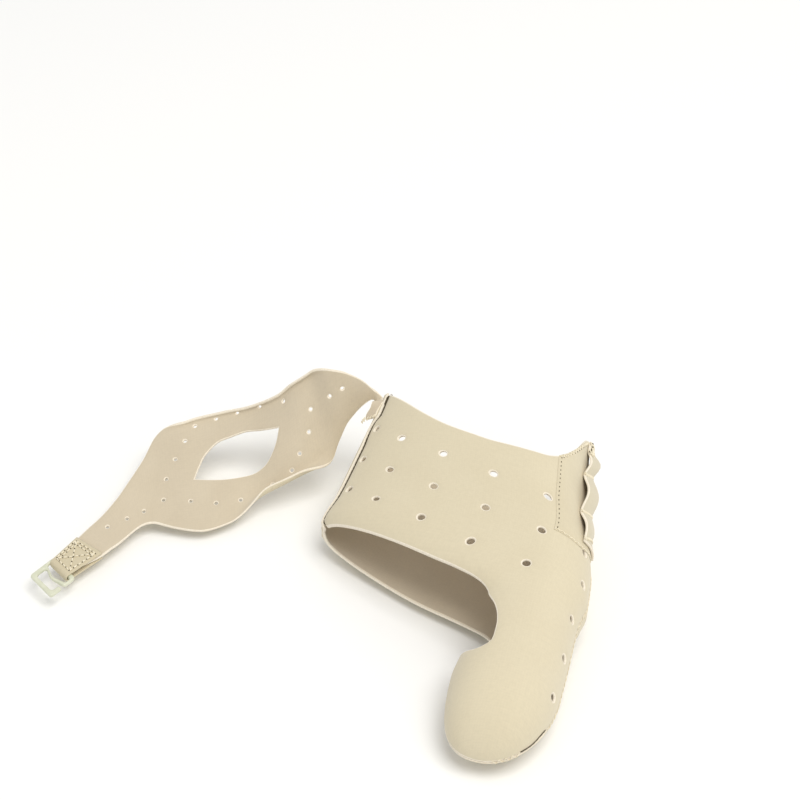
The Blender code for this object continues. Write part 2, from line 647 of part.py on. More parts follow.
class Strap:
    """The heel strap as straight cross lines on a curved middle line."""

    def __init__(self, form):
        rear_girth = form.run_at(REAR_EDGE[-1][1] * BAND_REACH)
        root_runs = np.array([rear_girth - ROOT_WIDTH - PATCH_INSET, rear_girth - PATCH_INSET])
        places = np.stack([form.girth(root_runs, True), root_runs], 1)
        front, rear = form.layer(places, GAP + STRAP_WALL / 2)
        self.root = (front + rear) / 2
        root_across = (rear - front) / np.linalg.norm(rear - front)
        table = np.array(STRAP_ROWS)
        middle = self.root + np.stack([-table[:, 0] * STRAP_LENGTH, -table[:, 1] * STRAP_LENGTH,
                                       table[:, 2] * STRAP_RISE], 1)
        across = plan_vector(table[:, 4], table[:, 5])
        ahead = middle[-1] - middle[-2]
        ahead -= across[-1] * np.dot(ahead, across[-1])
        self.ahead = ahead / np.linalg.norm(ahead)
        self.across_end = across[-1]
        self.up = np.cross(self.across_end, self.ahead)
        self.up *= np.sign(self.up[2])
        self.tab_start = middle[-1] + self.ahead * 2 * GAP
        hidden = TAB_LENGTH - HOOK_BAR - 2 * GAP
        end = self.tab_start + self.ahead * hidden
        self.middle = np.vstack([self.root, middle, end])
        self.across = np.vstack([root_across, across, across[-1]])
        widths = table[:, 3] * STRAP_WIDTH
        self.widths = np.concatenate([[ROOT_WIDTH], widths, [min(widths[-1], TAB_FOLD_WIDTH)]])
        self.runs = np.concatenate([[0], np.cumsum(np.linalg.norm(np.diff(self.middle, axis=0), axis=1))])

    def width(self, runs):
        """Whole width at each run."""
        return smooth_through(self.runs, self.widths, runs)

    def points(self, places):
        """Points of the middle face at (run, across) places."""
        places = np.asarray(places, float)
        middle = smooth_through(self.runs, self.middle, places[:, 0])
        across = smooth_through(self.runs, self.across, places[:, 0])
        across /= np.linalg.norm(across, axis=1)[:, None]
        return middle + across * places[:, 1:2]

    def ways(self, places):
        """Changes of the middle face's points per metre of run and of width."""
        places = np.asarray(places, float)
        nudge = 0.4 * MM
        run_low = np.maximum(places[:, 0] - nudge, 0)
        run_high = np.minimum(places[:, 0] + nudge, self.runs[-1])
        low = np.stack([run_low, places[:, 1]], 1)
        high = np.stack([run_high, places[:, 1]], 1)
        along = (self.points(high) - self.points(low)) / (run_high - run_low)[:, None]
        side = np.array([0.0, nudge])
        across = (self.points(places + side) - self.points(places - side)) / (2 * nudge)
        return along, across

    def both_faces(self, places):
        """Points of the two faces, half a wall to each side."""
        along, across = self.ways(places)
        normal = np.cross(across, along)
        normal /= np.linalg.norm(normal, axis=1)[:, None]
        middle = self.points(places)
        return middle + normal * STRAP_WALL / 2, middle - normal * STRAP_WALL / 2

    def round_hole(self, centre, size):
        """Outline, in (run, across) places, of a hole that is round on the strap itself."""
        along, across = (way[0] for way in self.ways([centre]))
        shear = np.dot(along, across)
        square = np.linalg.norm(along - across * shear)
        turn = np.arange(HOLE_SIDES) * 2 * math.pi / HOLE_SIDES
        run_part = size / 2 * np.sin(turn) / square
        return np.stack([centre[0] + run_part, centre[1] + size / 2 * np.cos(turn) - shear * run_part], 1)


def strap_outline(strap):
    """Outline of the strap in (run, across) places."""
    length = strap.runs[-1]
    rows = np.linspace(0, length, int(round(length / (0.7 * PANEL_STEP))) + 1)
    half = strap.width(rows) / 2
    end_line = np.linspace(-0.5, 0.5, 4)[1:-1]
    end = np.stack([np.full(2, length), end_line * strap.width([length])[0]], 1)
    start = np.stack([np.zeros(2), -end_line * strap.width([0.0])[0]], 1)
    return np.vstack([np.stack([rows, -half], 1), end, np.stack([rows, half], 1)[::-1], start])


def lens_outline():
    """Outline of the lens-shaped slot, with its two sharp tips."""
    size = np.array([LENS_LENGTH, LENS_WIDTH])
    centre = np.array([LENS_PLACE, LENS_SHIFT])
    sides = [curve_through(np.array(rows) * size, 0.6 * PANEL_STEP) for rows in (LENS_UPPER, LENS_LOWER)]
    return centre + np.vstack([side[:-1] for side in sides])


def strap_hole_places(strap):
    """Centres of the strap's perforations: a ring round the slot and a row to each end."""
    size = np.array([LENS_LENGTH, STRAP_WIDTH])
    ring = np.array(PERF_RING) * size + np.array([LENS_PLACE, LENS_SHIFT])
    centres = [tuple(place) for place in ring]
    for along, share in PERF_ROWS:
        run = along * STRAP_LENGTH
        centres.append((run, share * float(strap.width([run])[0])))
    return centres


def build_strap(strap, finish):
    """The heel strap with its slot and perforations."""
    outline = strap_outline(strap)
    lens = lens_outline()
    centres = [c for c in strap_hole_places(strap) if clear_of(c, outline, PERF_SIZE)]
    holes = [strap.round_hole(centre, PERF_SIZE) for centre in centres]
    return add_sheet("heel_strap", [outline, lens, *holes], strap.both_faces, PANEL_STEP, finish)


def rounded(corners, radius, steps=2):
    """A closed outline with each corner turned into a short arc."""
    corners = np.asarray(corners, float)
    outline = []
    for index, corner in enumerate(corners):
        before = corners[index - 1] - corner
        after = corners[(index + 1) % len(corners)] - corner
        before /= np.linalg.norm(before)
        after /= np.linalg.norm(after)
        for t in np.linspace(0, 1, steps + 1):
            outline.append(corner + before * radius * (1 - t) ** 2 + after * radius * t ** 2)
    return np.array(outline)


def hook_outlines():
    """Outer outline and slot of the hook in (ahead, across) places from the middle of its first bar."""
    half = TAB_FOLD_WIDTH / 2 + 1.5 * GAP + HOOK_SIDE
    back = -HOOK_BAR / 2
    slot_start = HOOK_BAR / 2
    slot_end = slot_start + HOOK_SLOT
    bar_end = slot_end + HOOK_SIDE
    arm_start = bar_end + HOOK_REACH - HOOK_BAR / 2
    arm_end = arm_start + HOOK_BAR
    tip = arm_end - HOOK_BAR - HOOK_RETURN
    outer = [
        (back, -half), (bar_end, -half), (bar_end + HOOK_BOW, 0.0), (bar_end, half - HOOK_BAR),
        (arm_start, half - HOOK_BAR),
        (arm_start, HOOK_BAR - half), (tip, HOOK_BAR - half), (tip, -half), (arm_end, -half),
        (arm_end, half), (back, half),
    ]
    slot = [
        (slot_start, HOOK_SIDE - half), (slot_start, half - HOOK_SIDE),
        (slot_end, half - HOOK_SIDE), (slot_end + HOOK_BOW, 0.0), (slot_end, HOOK_SIDE - half),
    ]
    return rounded(outer, HOOK_CORNER), rounded(slot, HOOK_CORNER / 3, 1)


def build_hook(strap, finish):
    """The flat hook: a slot for the tab and an open square hook beyond it."""
    origin = strap.tab_start + strap.ahead * TAB_LENGTH

    def both_faces(places):
        middle = origin + places[:, 0:1] * strap.ahead + places[:, 1:2] * strap.across_end
        return middle + strap.up * HOOK_THICK / 2, middle - strap.up * HOOK_THICK / 2

    return add_sheet("hook", list(hook_outlines()), both_faces, SMALL_STEP, finish)


def build_tab(strap, finish):
    """The tab folded round the hook's first bar, with a leaf above and a leaf below the strap's end."""
    room = max(STRAP_WALL, HOOK_THICK) / 2 + GAP
    outside = room + TAB_WALL
    fold_start = TAB_LENGTH + HOOK_BAR / 2 - room + GAP
    turn = np.linspace(math.pi / 2, -math.pi / 2, 9)
    outer = [(0.0, outside), (TAB_LENGTH / 2, outside)]
    outer += [(fold_start + outside * math.cos(t), outside * math.sin(t)) for t in turn]
    outer += [(TAB_LENGTH / 2, -outside), (0.0, -outside)]
    inner = [(0.0, room), (TAB_LENGTH / 2, room)]
    inner += [(fold_start + room * math.cos(t), room * math.sin(t)) for t in turn]
    inner += [(TAB_LENGTH / 2, -room), (0.0, -room)]
    outer, inner = np.array(outer), np.array(inner)
    count = len(outer)
    points = []
    for side in (-0.5, 0.5):
        for ahead, up in np.vstack([outer, inner]):
            share = min(ahead / TAB_LENGTH, 1.0)
            width = TAB_WIDTH + (TAB_FOLD_WIDTH - TAB_WIDTH) * share
            aside = strap.across_end * side * width
            points.append(strap.tab_start + strap.ahead * ahead + strap.up * up + aside)
    far = 2 * count
    faces = []
    for i in range(count - 1):
        faces.append((i, i + 1, far + i + 1, far + i))
        faces.append((count + i + 1, count + i, far + count + i, far + count + i + 1))
        faces.append((i + 1, i, count + i, count + i + 1))
        faces.append((far + i, far + i + 1, far + count + i + 1, far + count + i))
    faces.append((0, far, far + count, count))
    last = count - 1
    faces.append((far + last, last, count + last, far + count + last))
    return add_object("strap_tab", points, faces, finish)


def build():
    """All the pieces in their places."""
    laminate = material("cream_laminate", (0.76, 0.68, 0.50), 0.8)
    lining = material("strap_laminate", (0.71, 0.61, 0.47), 0.85)
    webbing = material("tab_fabric", (0.67, 0.59, 0.42), 0.85)
    coated = material("coated_wire", (0.74, 0.74, 0.61), 0.35)
    form = Form()
    build_upper(form, laminate)
    build_sole(form, laminate.copy())
    build_patch(form, laminate.copy())
    build_strip(form, laminate.copy())
    strap = Strap(form)
    build_strap(strap, lining)
    build_tab(strap, webbing)
    build_hook(strap, coated)


build()
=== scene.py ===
"""The looks of a bunion corrector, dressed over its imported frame.

The corrector is cut from thin perforated laminate: a band that runs out into a closed sheath, a patch with
three hook loops on the sheath's side, and a heel strap that lies spread out and ends in a folded tab with a
flat hook. Metres, +Z up, the sheath's tip towards -Y and its side of the band towards +X.
"""

import logging
import math
from dataclasses import dataclass, field
from enum import Enum
from typing import Callable

import bpy
import numpy as np
from bpy.types import Material, Node, NodeTree, Object
from mathutils import Matrix, Vector
from mathutils.geometry import delaunay_2d_cdt


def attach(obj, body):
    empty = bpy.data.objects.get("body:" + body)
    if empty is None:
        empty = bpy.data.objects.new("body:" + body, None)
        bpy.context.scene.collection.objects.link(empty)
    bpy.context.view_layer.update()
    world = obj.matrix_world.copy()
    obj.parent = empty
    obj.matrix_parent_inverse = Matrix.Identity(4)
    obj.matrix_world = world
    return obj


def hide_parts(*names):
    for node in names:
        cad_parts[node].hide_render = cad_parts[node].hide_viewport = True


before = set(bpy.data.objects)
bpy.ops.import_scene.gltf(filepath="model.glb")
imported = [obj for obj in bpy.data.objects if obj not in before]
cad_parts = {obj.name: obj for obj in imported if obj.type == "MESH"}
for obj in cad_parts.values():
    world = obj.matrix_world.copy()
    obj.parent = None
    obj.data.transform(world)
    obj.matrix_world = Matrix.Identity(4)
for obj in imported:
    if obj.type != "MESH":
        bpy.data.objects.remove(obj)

Array = np.ndarray
Surface = Callable[[Array, Array], Array]
MM = 0.001
BODY = "root"
# Added to a length that may be nothing, before it divides.
TINY = 1e-12
# Height over a surface at which its outward direction is read.
PROBE = 0.5 * MM
# Radians that Blender's wave texture turns by for each unit of its scale.
WAVE_TURN = 20
log = logging.getLogger("bunion_corrector")

# Sections of the band: share of the band's reach behind its middle section and of the sheath's reach before
# it; inner, ridge and outer place as shares of the band's width; top, inner seam, outer seam and bottom above
# the floor as shares of its height; slant; roundness on the inner and on the outer side.
BAND_SECTIONS = (
    (1.00, 0.420, 0.090, -0.358, 1.37, 0.66, 0.84, 0.13, 1.0, 2.2, 1.9),
    (0.67, 0.440, 0.125, -0.393, 1.25, 0.58, 0.71, 0.07, 1.0, 2.2, 1.9),
    (0.33, 0.460, 0.175, -0.432, 1.12, 0.50, 0.56, 0.02, 1.0, 2.2, 1.9),
    (0.00, 0.486, 0.238, -0.470, 1.00, 0.45, 0.42, 0.00, 1.0, 2.3, 1.9),
    (-0.148, 0.526, 0.288, -0.497, 0.895, 0.41, 0.31, 0.01, 1.0, 2.3, 2.0),
    (-0.269, 0.530, 0.315, -0.520, 0.82, 0.38, 0.25, 0.03, 1.1, 2.3, 2.1),
    (-0.348, 0.516, 0.335, -0.360, 0.77, 0.37, 0.26, 0.05, 0.9, 2.2, 2.1),
)

# Sections of the sheath, as shares of its reach, width from its axis, and height.
SHEATH_SECTIONS = (
    (-0.439, 0.508, 0.055, -0.505, 1.08, 0.48, 0.40, 0.12, 0.3, 2.2, 2.2),
    (-0.610, 0.492, 0.023, -0.450, 1.00, 0.40, 0.36, 0.08, 0.0, 2.2, 2.2),
    (-0.707, 0.474, -0.020, -0.488, 0.96, 0.34, 0.31, 0.066, 0.0, 2.2, 2.2),
)

# Cut edges: share of the girth from the inner seam, share of the band's or the sheath's reach.
REAR_EDGE = (
    (0.00, 0.92), (0.05, 0.85), (0.10, 0.73), (0.17, 0.50), (0.22, 0.35), (0.29, 0.235),
    (0.36, 0.21), (0.45, 0.205), (0.53, 0.225), (0.62, 0.265), (0.71, 0.34), (0.84, 0.49),
    (0.93, 0.60), (1.00, 0.69),
)
FRONT_CUT = (
    (1.000, 0.590), (0.920, 0.632), (0.840, 0.652), (0.765, 0.670), (0.690, 0.684), (0.635, 0.676),
    (0.604, 0.648), (0.606, 0.595), (0.617, 0.543), (0.645, 0.496), (0.682, 0.460), (0.693, 0.436),
    (0.684, 0.416), (0.687, 0.395), (0.722, 0.376), (0.768, 0.356), (0.823, 0.338), (0.900, 0.316),
    (1.000, 0.289),
)
SOLE_CUT = (
    (1.000, 0.590), (0.880, 0.605), (0.740, 0.600), (0.680, 0.538), (0.700, 0.464), (0.740, 0.406),
    (0.800, 0.369), (0.870, 0.337), (0.940, 0.311), (1.000, 0.289),
)
SOLE_REAR = ((0.00, 0.92), (0.20, 0.62), (0.50, 0.54), (0.80, 0.59), (1.00, 0.69))

# Perforations: columns of the band (share of the girth, share of the drift) and places on the sheath (share
# of its reach, share of its width from the inner seam).
HOLE_COLUMNS = ((0.255, 0.0), (0.430, 0.11), (0.603, 0.33), (0.765, 0.63), (0.893, 1.0))
SHEATH_HOLES = ((0.162, 0.34), (0.290, 0.27), (0.470, 0.225), (0.640, 0.20), (0.806, 0.20))

# Outer seam of the band, which lies up on its side: run from the middle section and distance above the form's
# own side line, in millimetres.
SEAM_RISE = (
    (-30.0, 1.4), (-26.0, 2.6), (-20.0, 5.4), (-12.0, 6.6), (0.0, 7.0), (7.0, 7.2), (12.0, 6.4), (16.5, 6.2),
    (19.5, 8.6), (25.0, 8.2), (33.0, 7.4),
)

# Heel strap: out and fore from its root as shares of its length, rise as a share of its own rise, width as a
# share of its width, then the cross line's direction in plan and its tilt, in degrees.
STRAP_ROWS = (
    (0.025, -0.017, 0.056, 0.088, 98.0, 76.0),
    (0.053, 0.001, 0.15, 0.215, 103.0, 77.0),
    (0.085, 0.040, 0.215, 0.40, 108.0, 75.0),
    (0.117, 0.061, 0.10, 0.58, 120.0, 69.0),
    (0.155, 0.075, -0.12, 0.75, 120.0, 56.0),
    (0.204, 0.109, -0.32, 0.79, 113.0, 46.0),
    (0.250, 0.134, -0.52, 0.81, 106.0, 38.0),
    (0.332, 0.161, -0.78, 0.87, 107.0, 28.0),
    (0.397, 0.198, -0.89, 1.00, 107.0, 21.0),
    (0.458, 0.228, -0.95, 1.05, 109.0, 17.0),
    (0.503, 0.246, -0.98, 1.00, 111.0, 16.0),
    (0.543, 0.256, -1.01, 0.94, 112.0, 15.0),
    (0.569, 0.272, -1.04, 0.83, 112.0, 14.0),
    (0.589, 0.307, -1.08, 0.63, 113.0, 13.0),
    (0.609, 0.358, -1.12, 0.45, 119.0, 13.0),
    (0.626, 0.413, -1.16, 0.34, 129.0, 12.0),
    (0.646, 0.469, -1.19, 0.29, 142.0, 9.0),
    (0.664, 0.505, -1.21, 0.28, 151.0, 5.0),
    (0.676, 0.536, -1.21, 0.27, 155.0, 3.0),
)
# Slot of the strap: its upper and lower side as shares of its length and width from its middle.
LENS_UPPER = (
    (0.57, -0.20), (0.50, 0.08), (0.43, 0.30), (0.22, 0.54), (-0.02, 0.51), (-0.25, 0.39), (-0.50, 0.26),
)
LENS_LOWER = (
    (-0.50, 0.26), (-0.46, 0.02), (-0.40, -0.18), (-0.31, -0.36), (-0.14, -0.46), (0.16, -0.38),
    (0.57, -0.20),
)
# Perforations of the strap: a ring as shares of the slot's length and the strap's width from the slot's
# middle, and a row to each end as shares of the strap's length and of its width there.
PERF_RING = (
    (-0.97, 0.07), (-0.59, 0.28), (-0.27, 0.35), (0.02, 0.39), (0.28, 0.42), (0.52, 0.41), (0.64, 0.29),
    (0.77, 0.13), (0.90, -0.04), (0.96, -0.22), (0.64, -0.27), (0.33, -0.33), (0.03, -0.36), (-0.39, -0.32),
    (-0.64, -0.28), (-0.75, -0.19), (-0.90, -0.08),
)
PERF_ROWS = ((0.135, 0.20), (0.173, 0.15), (0.777, -0.27), (0.852, -0.12), (0.918, 0.12))

# Flap at the strap's root: its outline as shares of its reach and of its seam's length.
FLAP_OUTLINE = (
    (0.0, -0.1), (0.5, -0.14), (1.0, -0.12), (0.88, 0.3), (1.04, 0.75), (0.9, 1.02), (0.5, 1.06),
    (0.06, 1.02), (0.1, 0.6), (0.02, 0.25),
)

# Patch: middle point of its outer side, as a share of both ends' runs added together, and its front edge
# between its two corners (share of the width, share of the corner's rise).
PATCH_SIDE_MIDDLE = 0.4
PATCH_FRONT = ((0.62, 0.15), (0.28, 0.65))

# Loop strip: share of its length, share of its width; its tacks; each loop's bulge.
STRIP_TAPER = ((0.0, 0.89), (0.15, 0.90), (0.30, 0.90), (0.45, 0.84), (0.68, 0.74), (0.85, 0.56), (1.0, 0.42))
LOOP_TACKS = (0.0, 0.28, 0.67, 0.90, 1.0)
LOOP_SHARES = (0.55, 0.85, 0.56, 0.0)
# Share of the bulge that each loop takes near the seam, where the strip stands fullest in profile.
LOOP_BELLIES = (0.25, 0.85, 0.95, 0.0)


class StitchKind(Enum):
    """How a line of thread runs: in gaps, from side to side, or loose from end to end."""

    RUNNING = "running"
    ZIGZAG = "zigzag"
    TUFT = "tuft"


def linear(hex_colour: str) -> tuple[float, float, float, float]:
    """An sRGB hex colour as linear RGBA.

    Args:
        hex_colour: six hex digits after a hash sign.

    Returns:
        Linear red, green, blue and an alpha of one.
    """
    values = [int(hex_colour[i:i + 2], 16) / 255 for i in (1, 3, 5)]
    red, green, blue = (v / 12.92 if v <= 0.04045 else ((v + 0.055) / 1.055) ** 2.4 for v in values)
    return red, green, blue, 1.0


def add_node(tree: NodeTree, kind: str, inputs: dict | None = None,
             links: dict | None = None, **settings: object) -> Node:
    """Adds a shader node with its settings, input values and links.

    Args:
        tree: the material's node tree.
        kind: the node's type name after ShaderNode.
        inputs: values by input name or index.
        links: source sockets by input name or index.
        settings: the node's own properties.

    Returns:
        The new node.
    """
    node = tree.nodes.new("ShaderNode" + kind)
    for name, value in settings.items():
        setattr(node, name, value)
    for name, value in (inputs or {}).items():
        node.inputs[name].default_value = value
    for name, source in (links or {}).items():
        tree.links.new(source, node.inputs[name])
    return node


def start_material(name: str, inputs: dict[str, object]) -> tuple[Material, Node]:
    """A new material with the first values of its shader.

    Args:
        name: the material's name.
        inputs: the shader's values by input name.

    Returns:
        The material and its shader.
    """
    made = bpy.data.materials.new(name)
    made.use_nodes = True
    shader = made.node_tree.nodes["Principled BSDF"]
    for key, value in inputs.items():
        shader.inputs[key].default_value = value
    return made, shader


@dataclass(frozen=True)
class ClothFinish:
    """A knitted or woven cloth face.

    Its colour wanders a little over the cloth, it is darkened slightly in the valleys between its thread rows
    as painted shade, and its fuzz gives a soft bright rim at grazing angles.
    """

    name: str
    colour: str
    shade: str
    pitch_mm: float
    depth_mm: float
    roughness: float = 0.88
    sheen: float = 0.25
    thread_share: float = 0.25
    cloud_mm: float = 14.3
    grain_mm: float = 1.11

    def make(self) -> Material:
        """The material, with its weave in the cloth's own coordinates.

        Returns:
            The new material.
        """
        made, shader = start_material(self.name, {
            "Roughness": self.roughness, "Sheen Weight": self.sheen, "Sheen Roughness": 0.6,
            "Specular IOR Level": 0.25,
        })
        tree = made.node_tree
        place = add_node(tree, "Attribute", attribute_name="cloth").outputs["Vector"]
        scale = math.tau * 1000 / self.pitch_mm / WAVE_TURN
        rows = add_node(tree, "TexWave", {"Scale": scale, "Distortion": 0.6, "Detail": 1.0},
                        {"Vector": place}, bands_direction="X")
        courses = add_node(tree, "TexWave", {"Scale": scale, "Distortion": 0.8, "Detail": 1.0},
                           {"Vector": place}, bands_direction="Y")
        weave = add_node(tree, "Mix", {0: 0.5}, {2: rows.outputs["Fac"], 3: courses.outputs["Fac"]},
                         data_type="FLOAT")
        cloud = add_node(tree, "TexNoise",
                         {"Scale": 1000 / self.cloud_mm, "Detail": 3.0, "Roughness": 0.55}, {"Vector": place})
        grain = add_node(tree, "TexNoise",
                         {"Scale": 1000 / self.grain_mm, "Detail": 2.0, "Roughness": 0.6}, {"Vector": place})
        blend = add_node(tree, "MapRange",
                         {"From Min": 0.30, "From Max": 0.75, "To Min": 0.0, "To Max": 0.55},
                         {"Value": cloud.outputs["Fac"]})
        tint = add_node(tree, "Mix", {6: linear(self.colour), 7: linear(self.shade)},
                        {0: blend.outputs["Result"]}, data_type="RGBA")
        # Painted shade: the colour is darkened slightly in the valleys between the thread rows.
        valley = add_node(tree, "MapRange",
                          {"From Min": 0.1, "From Max": 0.7, "To Min": 0.985, "To Max": 1.005},
                          {"Value": weave.outputs[0]})
        speck = add_node(tree, "MapRange",
                         {"From Min": 0.3, "From Max": 0.7, "To Min": 0.975, "To Max": 1.02},
                         {"Value": grain.outputs["Fac"]})
        both = add_node(tree, "Math", None,
                        {0: valley.outputs["Result"], 1: speck.outputs["Result"]}, operation="MULTIPLY")
        colour = add_node(tree, "VectorMath", None,
                          {0: tint.outputs[2], 1: both.outputs[0]}, operation="MULTIPLY")
        threads = add_node(tree, "Math", {1: self.thread_share}, {0: weave.outputs[0]},
                           operation="MULTIPLY")
        height = add_node(tree, "Math", {1: 0.8}, {0: grain.outputs["Fac"], 2: threads.outputs[0]},
                          operation="MULTIPLY_ADD")
        bump = add_node(tree, "Bump", {"Strength": 0.5, "Distance": self.depth_mm * MM},
                        {"Height": height.outputs[0]})
        tree.links.new(colour.outputs[0], shader.inputs["Base Color"])
        tree.links.new(bump.outputs["Normal"], shader.inputs["Normal"])
        return made


@dataclass(frozen=True)
class PlainFinish:
    """A fine-grained finish: a cut foam edge, a polyester thread or a coating.

    Noise at a real grain size breaks its colour and lifts its surface slightly.
    """

    name: str
    colour: str
    shade: str
    grain_mm: float
    depth_mm: float
    roughness: float
    coat: float = 0.0
    sheen: float = 0.0

    def make(self) -> Material:
        """The material, with its grain in the part's own frame.

        Returns:
            The new material.
        """
        made, shader = start_material(self.name, {
            "Roughness": self.roughness, "Coat Weight": self.coat, "Sheen Weight": self.sheen,
        })
        tree = made.node_tree
        place = add_node(tree, "TexCoord").outputs["Object"]
        grain = add_node(tree, "TexNoise", {"Scale": 1000 / self.grain_mm, "Detail": 3.0},
                         {"Vector": place})
        blend = add_node(tree, "MapRange", {"From Min": 0.35, "From Max": 0.7},
                         {"Value": grain.outputs["Fac"]})
        tint = add_node(tree, "Mix", {6: linear(self.colour), 7: linear(self.shade)},
                        {0: blend.outputs["Result"]}, data_type="RGBA")
        bump = add_node(tree, "Bump", {"Strength": 0.4, "Distance": self.depth_mm * MM},
                        {"Height": grain.outputs["Fac"]})
        tree.links.new(tint.outputs[2], shader.inputs["Base Color"])
        tree.links.new(bump.outputs["Normal"], shader.inputs["Normal"])
        return made


# Nylon jersey laminated to thin foam: matt, warm cream, with hardly visible fine rows. The real rows are
# about 0.35 mm apart; they are drawn at 0.8 mm so that they show at all.
LAMINATE = ClothFinish("nylon_jersey_laminate", "#dacfb3", "#d5c9ac", 0.8, 0.05)
PATCH_LAMINATE = ClothFinish("nylon_jersey_patch", "#d8cdb1", "#d1c5a8", 0.8, 0.06)
STRIP_LAMINATE = ClothFinish("nylon_jersey_loops", "#d6ccb1", "#cfc4a9", 0.8, 0.06)

# Brushed tricot on the inside of the same laminate: a little browner and duller than the outer face.
LINING = ClothFinish("brushed_tricot_lining", "#cfc1a9", "#c5b69d", 0.9, 0.07, 0.95, 0.35)
# The strap's lining: its own browner tone, lowered a little further as painted shade for the shadow over the
# strap.
STRAP_LINING_AND_SHADE = ClothFinish("brushed_tricot_strap_and_painted_shade", "#d1c4ac", "#c6b89f", 0.9, 0.06, 0.93, 0.3)

# Narrow woven polyester tab: duller and slightly greener, with threads that show.
WEBBING = ClothFinish("woven_polyester_tab", "#d2c7ab", "#c6b999", 0.6, 0.10, 0.85, 0.2, 1.0)

# Cut edge of the laminate: open pale foam that catches the light as a bright line.
CUT_EDGE = PlainFinish("cut_foam_edge", "#f4ebd8", "#e9decb", 0.5, 0.05, 0.95, sheen=0.3)

# Spun polyester sewing thread, lighter than the cloth and slightly glossy.
THREAD = PlainFinish("polyester_thread", "#f7efd9", "#e2d6b8", 0.25, 0.03, 0.5)

# The same thread where it is pulled down into a seam or a needle hole, coloured dull dark brown as painted
# shade; where it marks needle holes and gaps between stitches it is painted shade alone.
PAINTED_SHADE_THREAD = PlainFinish("polyester_thread_painted_shade", "#574d36", "#463e2b", 0.25, 0.03, 0.9)

# Steel wire frame dipped in cream nylon: smooth, pale and greenish, with soft highlights.
COATED_WIRE = PlainFinish("nylon_coated_steel", "#dedfc9", "#d0d3ba", 2.5, 0.02, 0.38, coat=0.3)


def run_along(points: Array) -> Array:
    """Distance run along a line of points, from 0 at its first point."""
    return np.concatenate([[0], np.cumsum(np.linalg.norm(np.diff(points, axis=0), axis=1))])


def unit(rows: Array, least: float = 0.0) -> Array:
    """Each row with a length of one; least is added to its length, so that an empty row stays empty."""
    return rows / (np.linalg.norm(rows, axis=1)[:, None] + least)


def eased(share: Array) -> Array:
    """A share from 0 to 1 that starts and ends softly."""
    return share * share * (3 - 2 * share)


def slopes_through(known_x: Array, known_y: Array) -> Array:
    """Slopes of a monotone cubic through rising known_x and the rows of known_y.

    Args:
        known_x: rising places.
        known_y: one row for each of them.

    Returns:
        One row of slopes for each place.
    """
    step = np.diff(known_x)[:, None]
    secant = np.diff(known_y, axis=0) / step
    slope = np.empty_like(known_y)
    slope[0] = secant[0]
    slope[-1] = secant[-1]
    before, after = secant[:-1], secant[1:]
    weight_before = 2 * step[1:] + step[:-1]
    weight_after = step[1:] + 2 * step[:-1]
    turning = before * after <= 0
    safe_before = np.where(turning, 1.0, before)
    safe_after = np.where(turning, 1.0, after)
    mean = (weight_before + weight_after) / (weight_before / safe_before + weight_after / safe_after)
    slope[1:-1] = np.where(turning, 0.0, mean)
    return slope


def smooth_through(known_x: object, known_y: object, x: object) -> Array:
    """Values of a smooth curve through given points.

    Args:
        known_x: rising places.
        known_y: one row, or one number, for each of them.
        x: the places asked for.

    Returns:
        One row, or one number, for each place asked for.
    """
    known_x = np.asarray(known_x, float)
    known_y = np.asarray(known_y, float)
    if known_y.ndim == 1:
        return smooth_through(known_x, known_y[:, None], x)[:, 0]
    x = np.clip(np.atleast_1d(np.asarray(x, float)), known_x[0], known_x[-1])
    slope = slopes_through(known_x, known_y)
    cell = np.clip(np.searchsorted(known_x, x) - 1, 0, len(known_x) - 2)
    width = (known_x[cell + 1] - known_x[cell])[:, None]
    t = (x - known_x[cell])[:, None] / width
    rest = 1 - t
    start = known_y[cell] * (1 + 2 * t) * rest ** 2 + slope[cell] * width * t * rest ** 2
    end = known_y[cell + 1] * (3 - 2 * t) * t ** 2 - slope[cell + 1] * width * rest * t ** 2
    return start + end


# Samples of a smooth curve for each of its given points, before they are spaced evenly.
CURVE_SAMPLES = 40


def evenly(points: Array, step: float) -> Array:
    """Points every step along a line of points, with both ends kept.

    Args:
        points: the line's points.
        step: distance asked for.

    Returns:
        The new points.
    """
    points = np.asarray(points, float)
    run = run_along(points)
    places = np.linspace(0, run[-1], max(2, int(round(run[-1] / step)) + 1))
    return np.stack([np.interp(places, run, points[:, axis]) for axis in range(points.shape[1])], 1)


def curve_through(points: object, step: float, closed: bool = False) -> Array:
    """Points every step along a smooth curve through a few points.

    Args:
        points: the few points.
        step: distance asked for.
        closed: whether the curve ends where it starts.

    Returns:
        The curve's points, without the start again.
    """
    points = np.asarray(points, float)
    if closed:
        points = np.vstack([points, points[:1]])
    chord = run_along(points)
    fine = np.linspace(0, chord[-1], CURVE_SAMPLES * len(points))
    curve = evenly(smooth_through(chord, points, fine), step)
    return curve[:-1] if closed else curve


